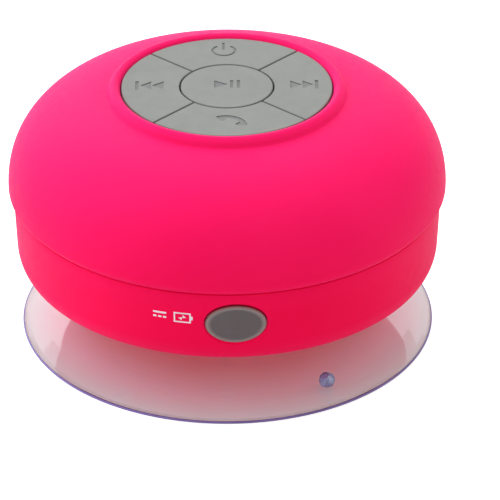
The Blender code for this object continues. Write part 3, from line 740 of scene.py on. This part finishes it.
def make_port_plug():
    edge = 0.45
    sections = [(PLUG_BACK_R, PLUG_A - 0.25, PLUG_B - 0.25),
                (PLUG_BACK_R + 0.1, PLUG_A - 0.08, PLUG_B - 0.08), (PLUG_BACK_R + 0.22, PLUG_A, PLUG_B)]
    for i in range(9):
        turn = math.radians(90 * i / 8)
        inset = edge * (1 - math.cos(turn))
        sections.append((PLUG_FACE_R - edge + edge * math.sin(turn), PLUG_A - inset, PLUG_B - inset))
    for share, sink in ((0.86, 0.05), (0.8, 0.1), (0.5, 0.08), (0.2, 0.06)):
        sections.append((PLUG_FACE_R - sink, PLUG_A * share, PLUG_B * share))
    plug = wrapped_oval("port_plug_fine", sections, 96, PLUG_Z)
    stub = [(39.2, STUB_A - 0.2, STUB_B - 0.2), (39.4, STUB_A, STUB_B), (40.9, STUB_A, STUB_B)]
    boolean(plug, wrapped_oval("stub", stub, 64), "UNION")
    barb_y = 4.95 - math.sqrt(BAND_BORE_R ** 2 - TETHER_X ** 2)
    boolean(plug, beam("tether", 0.3, [(-40.9, 0.4), (barb_y + 0.6, 0.4)]), "UNION")
    boolean(plug, beam("barb", 0.35, [(barb_y, 1.5), (barb_y + 1.0, 0.8)]), "UNION")
    place(shade(plug, 40), "plug", "plug_rubber", PLUG_GREY, "port_plug")


# ---- keys
def key_sector():
    """One outer key facing +X."""
    outline = []
    for radius, count, sign in ((KEYPAD_R, 40, 1), (CENTRE_KEY_R + KEY_GAP, 24, -1)):
        edge = sign * (45 - math.degrees(math.asin(KEY_GAP / 2 / radius)))
        outline += arc(radius, radius, (0.0, 0.0), -edge, edge, count)
    return outline


def round_corners(outline, radius, steps=4, sharp=60.0):
    """Round only the sharp corners of a closed outline."""
    made = []
    count = len(outline)
    for i in range(count):
        here = Vector(outline[i])
        before = Vector(outline[i - 1]) - here
        after = Vector(outline[(i + 1) % count]) - here
        if before.angle(after) > math.radians(180 - sharp):
            made.append(tuple(here))
            continue
        start = here + before.normalized() * min(radius, before.length * 0.45)
        end = here + after.normalized() * min(radius, after.length * 0.45)
        for k in range(steps + 1):
            share = k / steps
            point = start * (1 - share) ** 2 + here * 2 * share * (1 - share) + end * share ** 2
            made.append((point.x, point.y))
    return made


def inset_outline(outline, amount):
    """Move a closed counter-clockwise outline inwards by an amount."""
    made = []
    count = len(outline)
    for i in range(count):
        here = Vector(outline[i])
        before = (here - Vector(outline[i - 1])).normalized()
        after = (Vector(outline[(i + 1) % count]) - here).normalized()
        normal = Vector((-(before.y + after.y), before.x + after.x)).normalized()
        spread = max(normal.dot(Vector((-after.y, after.x))), 0.5)
        made.append(tuple(here + normal * amount / spread))
    return made


def key_solid(name, outline):
    """A key cap: straight sides, a rounded top edge and a flat top."""
    edge = 0.2
    rings = [[(x, y, KEY_SKIRT_Z) for x, y in outline]]
    for i in range(5):
        turn = math.radians(90 * i / 4)
        ring = inset_outline(outline, edge * (1 - math.cos(turn)))
        rings.append([(x, y, KEY_TOP_Z - edge + edge * math.sin(turn)) for x, y in ring])
    return loft(name, rings)


def ring_outline(outer, inner, start, end):
    """A bent bar: part of a flat ring between two angles."""
    centre = (0.0, 0.0)
    return arc(outer, outer, centre, start, end, 28) + arc(inner, inner, centre, end, start, 28)


def bar(x0, y0, x1, y1):
    return [(x0, y0), (x1, y0), (x1, y1), (x0, y1)]


def triangle(tip_x, base_x, half, middle_y):
    points = [(base_x, middle_y - half), (tip_x, middle_y), (base_x, middle_y + half)]
    return points if tip_x > base_x else points[::-1]


def handset():
    """A telephone handset: a bent bar with a thicker rounded block at each end."""
    outer, inner, block, reach, neck = 4.05, 2.95, 1.9, 60, 36
    middle_y = 2.8
    bend = neck - 4
    points = arc(outer, outer, (0.0, 0.0), 90 - reach, 90 + reach, 28)
    points += [on_circle(block, 90 + reach), on_circle(block, 90 + neck)]
    points += arc(inner, inner, (0.0, 0.0), 90 + bend, 90 - bend, 16)
    points += [on_circle(block, 90 - neck), on_circle(block, 90 - reach)]
    return round_corners([(x, y - middle_y) for x, y in points], 0.5, 5, 40.0)


def turned_by(outline, degrees, shift=(0.0, 0.0)):
    turn = Matrix.Rotation(math.radians(degrees), 2)
    return [tuple(turn @ Vector(point) + Vector(shift)) for point in outline]


def icons():
    """Flat outlines of each key's mark, round the key's own centre."""
    power = [(x - 0.55, y + 0.55) for x, y in ring_outline(2.5, 1.95, 126, 414)]
    return {
        "power": [power, bar(-0.85, 0.85, -0.4, 3.95)],
        "previous": [bar(-3.15, -1.45, -2.5, 2.0), triangle(-2.2, -0.1, 1.6, 0.3),
                     triangle(0.05, 2.3, 1.65, 0.3)],
        "next": [bar(2.5, -1.25, 3.15, 2.2), triangle(2.2, 0.1, 1.6, 0.5), triangle(-0.05, -2.3, 1.65, 0.5)],
        "play_pause": [triangle(0.15, -2.45, 1.55, 0.7), bar(0.65, -0.85, 1.25, 2.3),
                       bar(1.95, -0.85, 2.55, 2.3)],
        "phone": [turned_by(handset(), -31.0, (1.25, 0.75))],
    }


def make_keys():
    marks = icons()
    for name, centre in KEY_CENTRES.items():
        if name in KEY_ANGLES:
            outline = turned_by(round_corners(key_sector(), 0.3), KEY_ANGLES[name] + KEY_TURN)
        else:
            outline = [on_circle(CENTRE_KEY_R, 360 * i / 128) for i in range(128)]
        key = key_solid(f"{name}_key_fine", outline)
        boolean(key, cylinders("nub", [centre], NUB_R, 46.5, KEY_SKIRT_Z + 0.5, 48), "UNION")
        key.data.materials.clear()
        key.data.materials.append(KEY_GREY)
        top = max(vert.co.z for vert in key.data.vertices) / MM
        for number, mark in enumerate(marks[name]):
            shifted = [(x + centre[0], y + centre[1]) for x, y in mark]
            cutter = prism(f"{name}_mark_{number}", shifted, top - ICON_DEPTH, top + 1.0)
            # the mark's cut faces take the darker grey: painted shade in the engraved recess
            cutter.data.materials.append(ICON_GREY)
            boolean(key, cutter)
        shade(key, 40, flat_tops=True)
        place(key, f"{name}_button", "key_rubber", None, f"{name}_key")


# ---- white mark beside the plug
def band_radius(z):
    return BAND_LOW_R + (BAND_TOP_R - BAND_LOW_R) * (z - BAND_LOW_Z) / (SEAM_Z - 1.8 - BAND_LOW_Z)


def make_mark():
    """A printed pictogram: the direct-current sign and a battery with a bolt, wrapped round the band."""
    pieces_an_edge = 8
    under_surface, over_surface = -0.06, 0.03
    solid_line = bar(-3.85, 0.42, -1.25, 0.8)
    dashes = [bar(-3.85 + 0.98 * i, -0.5, -3.21 + 0.98 * i, -0.12) for i in range(3)]
    battery = [bar(0.2, 0.82, 3.5, 1.1), bar(0.2, -1.1, 3.5, -0.82), bar(0.2, -0.82, 0.48, 0.82),
               bar(3.22, -0.82, 3.5, 0.82), bar(3.5, -0.4, 3.85, 0.4)]
    bolt = [(1.1, -0.05), (1.75, -0.6), (1.72, -0.12), (2.6, 0.05), (1.95, 0.6), (1.98, 0.12)]
    bm = bmesh.new()
    for outline in [solid_line, *dashes, *battery, bolt]:
        edge = []
        for i, corner in enumerate(outline):
            edge += subdivided(corner, outline[(i + 1) % len(outline)], pieces_an_edge)
        rings = []
        for lift in (under_surface, over_surface):
            ring = []
            for u, v in edge:
                z = MARK_Z + v
                turn = math.radians(MARK_ANGLE) + u / BAND_TOP_R
                radius = band_radius(z) + lift
                ring.append((radius * math.sin(turn), -radius * math.cos(turn), z))
            rings.append(ring)
        add_loft(bm, rings)
    place(from_bmesh("printed_mark", bm), "case", "pink_coat", INK)


# ---- suction cup
def make_suction_cup():
    stem_r, head_r, head_low_z, head_top_z = 4.9, 6.8, 15.8, 17.6
    top = [(0.0, head_top_z, 0), (head_r, head_top_z, 0.6), (head_r, head_low_z, 0.3),
           (stem_r, head_low_z, 0.3), (stem_r, 11.4, 0.9), (8.4, 10.5, 0.6), (10.0, 9.3, 0.8),
           (13.5, 7.45, 6.0), (18.0, 5.95, 14.0), (25.0, 4.1, 14.0), (32.0, 2.45, 14.0), (37.0, 1.3, 12.0),
           (40.3, 0.58, 1.0), (RIM_R, 0.45, 0)]
    under = [(RIM_R, 0.02, 0), (40.35, 0.0, 0.2), (39.6, 0.03, 0.5), (36.5, 0.5, 6.0), (31.0, 1.7, 12.0),
             (24.0, 3.3, 14.0), (17.0, 5.1, 10.0), (12.0, 6.9, 4.0), (0.0, 7.8, 0)]
    cup = lathe("suction_cup_fine", rounded(top + under, 8), FINE)
    for vert in cup.data.vertices:
        radius = vert.co.xy.length / MM
        if CUP_FLAT_R < radius < CUP_LAND_R:
            swell = math.sin(math.pi * (radius - CUP_FLAT_R) / (CUP_LAND_R - CUP_FLAT_R))
            vert.co.z -= CUP_LEAN * swell * vert.co.x / radius
    place(shade(cup, 50), "cup", "clear_vinyl", CLEAR, "suction_cup")
    start_r = RIM_R + 0.05
    rim = [(RIM_R + 0.01, 0.03), (RIM_R + 0.01, 0.44)]
    rim += arc(CUP_R - start_r, 0.18, (start_r, 0.26), 80, 0, 6)
    rim += arc(CUP_R - start_r, 0.18, (start_r, 0.2), 0, -80, 6)
    place(shade(lathe("suction_cup_rim", rim, FINE), 60), "cup", "clear_vinyl", RIM)
    bm = bmesh.new()
    bmesh.ops.create_icosphere(bm, subdivisions=2, radius=CUP_NUB_R)
    place(from_bmesh("suction_cup_nub", bm, CUP_NUB_PLACE), "cup", "clear_vinyl", NUB)


# ---- back, screws and seals
def stadium(length, width, middle_x, steps=10):
    """A slot with round ends, lying along X."""
    reach = (length - width) / 2
    points = arc(width / 2, width / 2, (middle_x + reach, 0.0), -90, 90, steps)
    return points + arc(width / 2, width / 2, (middle_x - reach, 0.0), 90, 270, steps)


def make_base_plate():
    """The back cover, with sixteen round-ended sound slots and a socket for the cup's stem."""
    top, step_z, wall_top_z = BASE_Z + 1.8, BASE_Z + 0.25, 18.6
    socket_r, socket_floor_z, socket_top_z = 7.25, 18.0, 19.2
    profile = [(0.0, socket_top_z, 0), (9.2, socket_top_z, 0.6), (9.2, top, 0.4), (20.8, top, 0.1),
               (20.8, wall_top_z, 0.15), (21.8, wall_top_z, 0.15), (21.8, top, 0.1), (28.0, top, 0.1),
               (28.0, BASE_Z, 0.35), (23.6, BASE_Z, 0.1), (23.45, step_z, 0.1), (23.05, step_z, 0.1),
               (22.9, BASE_Z, 0.1), (5.3, BASE_Z, 0.5), (5.3, top, 0.2), (socket_r, top, 0.1),
               (socket_r, socket_floor_z, 0.3), (0.0, socket_floor_z, 0)]
    plate = lathe("base_plate_fine", rounded(profile, 4), FINE)
    boolean(plate, spokes("slot_cutter", stadium(8.6, 1.9, 15.2), BASE_Z - 1.0, BASE_Z + 2.5, 16))
    boolean(plate, cylinders("plate_screw_holes", BASE_SCREWS, 1.1, 12.0, 17.0))
    boolean(plate, cylinders("plate_screw_recesses", BASE_SCREWS, 1.95, 12.0, BASE_Z + 0.9))
    place(shade(plate, 38), "case", "pink_coat", PINK, "base_plate")


def make_screw(name, centre, low_z, head_r, head_h, shank_r, shank_h):
    """A pan-head screw driven upwards, with a cross recess and a threaded shank."""
    pitch = 0.55
    core_r, crest_r = shank_r * 0.84, shank_r * 1.06
    height = head_h + shank_h
    profile = [(0.0, height), (shank_r * 0.3, height), (shank_r * 0.8, height - 0.7)]
    for i in range(int((shank_h - 1.2) / pitch)):
        z = height - 0.9 - pitch * i
        profile += [(core_r, z), (crest_r, z - pitch * 0.4), (core_r, z - pitch * 0.8)]
    profile += rounded([(core_r, head_h + 0.2, 0), (shank_r * 0.9, head_h, 0), (head_r, head_h, 0.1),
                        (head_r, 0.0, head_h * 0.55), (0.0, 0.0, 0)], 5)
    screw = lathe(f"{name}_fine", profile, 40, (*centre, low_z))
    arm, half = head_r * 0.58, head_r * 0.13
    quarter = [(arm, -half), (arm, half), (half, half)]
    cross = []
    for _ in range(4):
        cross += quarter
        quarter = [(-y, x) for x, y in quarter]
    rings = [[(x * size, y * size, z) for x, y in cross] for z, size in ((-0.2, 1.05), (head_h * 0.6, 0.6))]
    boolean(screw, loft("cross_recess", rings, (*centre, low_z)))
    place(shade(screw, 35), "case", "plated_metal", PLATED, name)


def make_screws():
    for number, (case_spot, base_spot) in enumerate(zip(CASE_SCREWS, BASE_SCREWS), 1):
        make_screw(f"case_screw_{number}", case_spot, BASE_Z + 0.05, 1.95, 0.75, 0.95, 9.5)
        make_screw(f"base_screw_{number}", base_spot, BASE_Z + 0.05, 1.6, 0.5, 0.75, 3.6)
    for number, board_spot in enumerate(BOARD_SCREWS, 1):
        make_screw(f"board_screw_{number}", board_spot, BOARD_LOW_Z - 1.1, 1.6, 0.8, 0.75, 4.6)


def make_rings():
    """The seal between the shells, and the sheet and frame under the keys."""
    ring = arc(0.38, 0.38, (40.68, band_high.z - 0.5), 90, -270, 24)[:-1]
    place_turned("seam_gasket", ring, "case", "seal_rubber", SEAL, 60, FINE)
    web_r, web_top_z, web_low_z = 23.6, 47.5, 46.95
    profile = [(0.0, web_top_z, 0), (web_r, web_top_z, 0.15), (web_r, web_low_z, 0.15), (0.0, web_low_z, 0)]
    web = lathe("keypad_web_fine", rounded(profile))
    boolean(web, cylinders("web_holes", list(KEY_CENTRES.values()), NUB_R + 0.4, 46.0, 48.5, 40))
    place(shade(web, 35), "case", "key_rubber", KEY_GREY, "keypad_web")
    foot_z, shelf_z, floor_z = BOARD_TOP_Z + 0.3, 46.6, 45.7
    profile = [(24.0, 47.0, 0.1), (25.0, 47.0, 0.2), (25.0, foot_z, 0.2), (23.6, foot_z, 0.2),
               (23.6, floor_z, 0.3), (19.2, floor_z, 0.2), (19.2, shelf_z, 0.2), (24.0, shelf_z, 0)]
    place_turned("keypad_frame", rounded(profile, 3), "case", "dark_plastic", DARK, 35)


# ---- switches, board, battery and socket
def make_switches():
    low, high, half = BOARD_TOP_Z + 0.3, BOARD_TOP_Z + 3.1, 3.0
    top_z, low_z, plunger_r = 46.2, 44.2, 1.5
    plunger = rounded([(0.0, top_z, 0), (plunger_r, top_z, 0.3), (plunger_r, low_z, 0.15), (0.0, low_z, 0)])
    for name, (x, y) in KEY_CENTRES.items():
        corners = ((x - half, y - half, low), (x + half, y + half, high))
        block = rounded_box(f"{name}_switch_fine", *corners, 0.25)
        boolean(block, cylinders("bore", [(x, y)], 1.85, low + 0.4, high + 1.0, 40))
        rivets = [(x + side_x * 2.3, y + side_y * 2.3) for side_x in (-1, 1) for side_y in (-1, 1)]
        boolean(block, cylinders("rivets", rivets, 0.35, high - 0.3, high + 0.12, 16), "UNION")
        place(shade(block, 35), "case", "black_plastic", BLACK, f"{name}_switch")
        pin = shade(lathe(f"{name}_plunger_fine", plunger, 48, (x, y, 0.0)), 35)
        place(pin, f"{name}_button", "black_plastic", BLACK, f"{name}_plunger")


def capacitor_outline(top):
    radius, groove_r = 2.5, 2.3
    return [(0.0, top, 0), (radius, top, 0.15), (radius, top - 0.9, 0.1), (groove_r, top - 1.15, 0.1),
            (radius, top - 1.4, 0.1), (radius, 0.0, 0.35), (1.9, 0.0, 0.1), (1.85, 0.1, 0), (0.0, 0.1, 0)]


def microphone_outline(top):
    radius, hole_r = 2.0, 0.5
    return [(0.0, top - 0.4, 0), (hole_r, top - 0.4, 0), (hole_r, top, 0.1), (radius, top, 0.2),
            (radius, 0.0, 0.15), (0.0, 0.0, 0)]


def make_electronics():
    board_r = 30.0
    board = lathe("main_board_fine", rounded([(0.0, BOARD_TOP_Z, 0), (board_r, BOARD_TOP_Z, 0.12),
                                              (board_r, BOARD_LOW_Z, 0.12), (0.0, BOARD_LOW_Z, 0)]))
    boolean(board, cylinders("board_holes", BOARD_SCREWS, 1.15, BOARD_LOW_Z - 1.0, BOARD_TOP_Z + 1.0, 40))
    place(shade(board, 35), "case", "board", BOARD, "main_board")
    for name, edge, slot, finish in (("radio_module", 0.35, "plated_metal", PLATED),
                                     ("amplifier_chip", 0.15, "black_plastic", BLACK),
                                     ("battery_tape", 0.12, "foam", FOAM),
                                     ("battery_cell", 0.9, "battery_foil", FOIL),
                                     ("charging_board", 0.1, "board", BOARD)):
        box = rounded_box(f"{name}_fine", *node_box(name), edge, 5)
        place(shade(box, 35), "case", slot, finish, name)
    for name, outline in (("capacitor", capacitor_outline), ("microphone", microphone_outline)):
        low, high = node_box(name)
        foot = ((low.x + high.x) / 2, (low.y + high.y) / 2, low.z)
        can = lathe(f"{name}_fine", rounded(outline(high.z - low.z)), 64, foot)
        place(shade(can, 35), "case", "plated_metal", PLATED, name)


def make_charging_socket():
    low, high = node_box("charging_socket")
    socket = rounded_box("charging_socket_fine", low, high, 0.3, 4)
    boolean(socket, rod("socket_bore", 1.95, low.y - 1.0, low.y + 8.0, (PORT_X, PORT_Z)))
    place(shade(socket, 35), "case", "black_plastic", BLACK, "charging_socket")
    low, high = node_box("socket_pin")
    length, radius = high.y - low.y, 0.6
    profile = rounded([(0.0, length, 0), (radius, length, 0.3), (radius, 0.0, 0.05), (0.0, 0.0, 0)], 6)
    pin = lathe("socket_pin_fine", profile, 32)
    pin.data.transform(Matrix.Rotation(math.radians(90), 4, "X"))
    pin.location = Vector((PORT_X, high.y, PORT_Z)) * MM
    place(shade(pin, 35), "case", "plated_metal", PLATED, "socket_pin")


def make_leads():
    end_z = BOARD_LOW_Z - 0.8
    for side, name, finish in ((1, "red", LEAD_RED), (-1, "black", LEAD_BLACK)):
        low_x, high_x = -3.2 + 0.9 * side, -6.0 + 1.1 * side
        routes = {
            "battery": [(15.8, 2.5 * side, 37.0), (18.6, 2.6 * side, 36.8), (20.4, 3.0 * side, 38.2),
                        (20.8, 3.2 * side, end_z)],
            "speaker": [(-17.0, 2.0 * side, 22.4), (-20.5, 2.2 * side, 25.5), (-21.5, 2.6 * side, 32.0),
                        (-20.6, 3.0 * side, end_z)],
            "charging": [(low_x, -29.2, 18.9), (low_x, -27.6, 21.5), (high_x, -26.0, 30.0),
                         (high_x, -24.6, end_z)],
        }
        for kind, route in routes.items():
            lead = shade(tube(f"{kind}_lead_{name}_fine", route, 0.45), 50)
            place(lead, "case", f"lead_{name}", finish, f"{kind}_lead_{name}")


# ---- loudspeaker
def make_basket():
    """The front gasket and the pressed frame, which has four windows round the cone."""
    gasket = [(20.1, 16.7, 0), (20.1, 15.7, 0.2), (18.1, 15.7, 0.2), (18.1, 16.7, 0.2), (20.0, 16.7, 0)]
    place_turned("driver_gasket", rounded(gasket), "case", "foam", FOAM)
    flange_r, flange_top_z, flange_low_z, inner_r = 20.4, 17.8, 17.0, 18.0
    profile = [(8.0, 26.8, 0), (12.6, 26.8, 0.7), (19.2, flange_top_z, 0.3), (flange_r, flange_top_z, 0.15),
               (flange_r, flange_low_z, 0.15), (inner_r, flange_low_z, 0.15), (inner_r, flange_top_z, 0.1),
               (12.2, 26.0, 0.5), (8.0, 26.0, 0)]
    basket = lathe("driver_basket_fine", rounded(profile))
    window = (9.0, 8.0, 4.6)
    bm = bmesh.new()
    for turn in range(4):
        at = (Matrix.Rotation(math.radians(45 + 90 * turn), 4, "Z") @ Matrix.Translation((16.0, 0.0, 21.9))
              @ Matrix.Diagonal((*window, 1.0)))
        bmesh.ops.create_cube(bm, size=1.0, matrix=at)
    radial = [edge for edge in bm.edges if abs(edge.verts[0].co.z - edge.verts[1].co.z) < 0.01
              and abs(edge.calc_length() - window[0]) < 0.01]
    bmesh.ops.bevel(bm, geom=radial, offset=1.2, segments=5, profile=0.5, affect="EDGES")
    boolean(basket, from_bmesh("windows", bm))
    place(shade(basket, 35), "case", "steel", STEEL, "driver_basket")


def sheet_profile(upper, thickness):
    """A thin sheet's closed profile under a line of points."""
    return upper + [(radius, height - thickness) for radius, height in reversed(upper)]


def make_cone():
    """The roll surround, the ribbed cone with its dust cap and voice coil, and the corrugated spider."""
    roll_r, roll_z = 16.65, 17.2
    roll = arc(1.05, 1.05, (roll_r, roll_z), 0, -180, 20) + arc(0.75, 0.75, (roll_r, roll_z), -180, 0, 20)
    place_turned("driver_surround", roll, "case", "seal_rubber", SEAL, 50)
    upper = []
    for i in range(33):
        share = i / 32
        rib = 0.09 * max(0.0, math.sin(share * math.pi * 7)) ** 2
        bow = 0.25 * math.sin(share * math.pi)
        upper.append((6.3 + 8.9 * share, 23.4 - 5.6 * share - rib - bow))
    place_turned("driver_cone", sheet_profile(upper, 0.38), "cone", "cone_paper", PAPER, 50, FINE)
    cap_r, cap_z, cap_h = 5.75, 22.75, 1.05
    cap = arc(cap_r, -cap_h, (0.0, cap_z), -270, -360, 15)
    inner = [(max(radius - 0.12, 0.0), height) for radius, height in reversed(cap[:-1])]
    outer = [(0.0, cap_z - cap_h - 0.3)] + [(radius, height - 0.3) for radius, height in cap[1:-1]]
    place_turned("dust_cap", outer + [(cap_r, cap_z)] + inner, "cone", "cone_paper", PAPER, 60)
    coil = [(6.7, 29.4, 0), (6.75, 29.35, 0), (6.75, 23.8, 0.05), (6.1, 23.8, 0.05), (6.1, 29.4, 0.05),
            (6.65, 29.4, 0)]
    place_turned("voice_coil", rounded(coil), "cone", "copper", COPPER)
    waves = [(7.2 + 4.7 * i / 48, 25.2 + 0.26 * math.sin(math.pi * 8 * i / 48)) for i in range(49)]
    place_turned("driver_spider", sheet_profile(waves, 0.14), "case", "spider_cloth", SPIDER, 50)


def make_motor():
    """The top plate, ring magnet and yoke."""
    plate = [(13.3, 28.3, 0), (13.4, 28.2, 0), (13.4, 27.1, 0.15), (7.2, 27.1, 0.15), (7.2, 28.3, 0.15),
             (13.2, 28.3, 0)]
    magnet = [(12.2, 31.6, 0), (12.6, 31.2, 0), (12.6, 28.6, 0.4), (8.2, 28.6, 0.3), (8.2, 31.6, 0.3),
              (12.1, 31.6, 0)]
    yoke = [(0.0, 33.0, 0), (3.0, 33.0, 0.1), (3.2, 33.4, 0.1), (12.8, 33.4, 0.5), (12.8, 31.9, 0.2),
            (5.6, 31.9, 0.2), (5.6, 27.0, 0.3), (0.0, 27.0, 0)]
    place_turned("driver_top_plate", rounded(plate), "case", "steel", STEEL)
    place_turned("driver_magnet", rounded(magnet), "case", "ferrite", FERRITE)
    place_turned("driver_yoke", rounded(yoke), "case", "steel", STEEL, 35)


# ---- stage, light and camera
def make_stage():
    """A white table. It glows only as seen directly or through the cup, so it doesn't light the object."""
    bm = bmesh.new()
    bmesh.ops.create_grid(bm, x_segments=1, y_segments=1, size=3000.0)
    floor = from_bmesh("floor", bm, (0.0, 0.0, cup_low.z - 0.05))
    paper = moulded("pale_floor", (0.78, 0.78, 0.78), 0.8, 400.0, 0.02, uneven=0.004)
    paths = paper.node("ShaderNodeLightPath", {})
    direct = paper.math("MULTIPLY", paths.outputs["Is Camera Ray"], DIRECT_GLOW)
    seen = paper.math("ADD", direct, paths.outputs["Is Transmission Ray"])
    paper.set("Emission Color", (1.0, 1.0, 1.0, 1.0))
    paper.link(paper.math("MULTIPLY", seen, FLOOR_GLOW), paper.shader.inputs["Emission Strength"])
    floor.data.materials.append(paper.material)


def area_light(name, location, power, colour=(1.0, 1.0, 1.0)):
    """A soft box, half a metre square, aimed at the speaker."""
    data = bpy.data.lights.new(name, "AREA")
    data.shape = "RECTANGLE"
    data.size = data.size_y = 0.5
    data.energy = power
    data.color = colour
    made = add_object(name, data)
    made.location = location
    aim = Vector((0.0, 0.0, 0.03)) - made.location
    made.rotation_euler = aim.to_track_quat("-Z", "Y").to_euler()


def make_light():
    """A white studio: an even base, three broad brighter areas overhead and behind, and three soft boxes, of
    which the left ones are a little blue."""
    area_light("upper_left_box", (-0.45, -0.25, 0.6), 1.2, (0.97, 0.98, 1.1))
    area_light("left_box", (-0.75, 0.0, 0.25), 1.6, (0.92, 0.97, 1.5))
    area_light("right_box", (0.7, -0.1, 0.3), 0.85)
    world = bpy.data.worlds.new("studio")
    world.use_nodes = True
    tree = world.node_tree
    direction = add_node(tree, "ShaderNodeTexCoord", {}).outputs["Generated"]
    total = BASE_LIGHT
    lobes = (((0.0, 0.06, 1.0), 1.15), ((-0.05, 0.8, 0.57), 1.15), ((-0.65, 0.58, 0.48), 1.1))
    for towards, brightness in lobes:
        inputs = {0: direction, 1: Vector(towards).normalized()}
        value = add_node(tree, "ShaderNodeVectorMath", inputs, operation="DOT_PRODUCT").outputs["Value"]
        steps = (("MAXIMUM", 0.0), ("POWER", LOBE_FOCUS), ("MULTIPLY", brightness), ("ADD", total))
        for operation, second in steps:
            value = add_node(tree, "ShaderNodeMath", {0: value, 1: second}, operation=operation).outputs[0]
        total = value
    background = tree.nodes["Background"]
    background.inputs["Color"].default_value = (1.0, 1.0, 1.0, 1.0)
    tree.links.new(total, background.inputs["Strength"])
    bpy.context.scene.world = world
    bpy.context.scene.view_settings.view_transform = "Standard"


def make_camera():
    """The camera stands in front, 30 degrees up; the speaker is left of the middle and high in the frame."""
    pitch, yaw = math.radians(30.16), math.radians(0.438)
    data = bpy.data.cameras.new("camera")
    data.sensor_width = 36.0
    data.lens = 245.2
    data.clip_start = 0.05
    data.clip_end = 20.0
    made = add_object("camera", data)
    made.location = Vector((0.0, -586.8, 355.6)) * MM
    made.rotation_euler = (math.pi / 2 - pitch, 0.0, -yaw)
    bpy.context.scene.camera = made


make_camera()
make_upper_shell()
make_lower_shell()
make_port_plug()
make_keys()
make_mark()
make_suction_cup()
make_base_plate()
make_screws()
make_rings()
make_switches()
make_electronics()
make_charging_socket()
make_leads()
make_basket()
make_cone()
make_motor()
make_stage()
make_light()
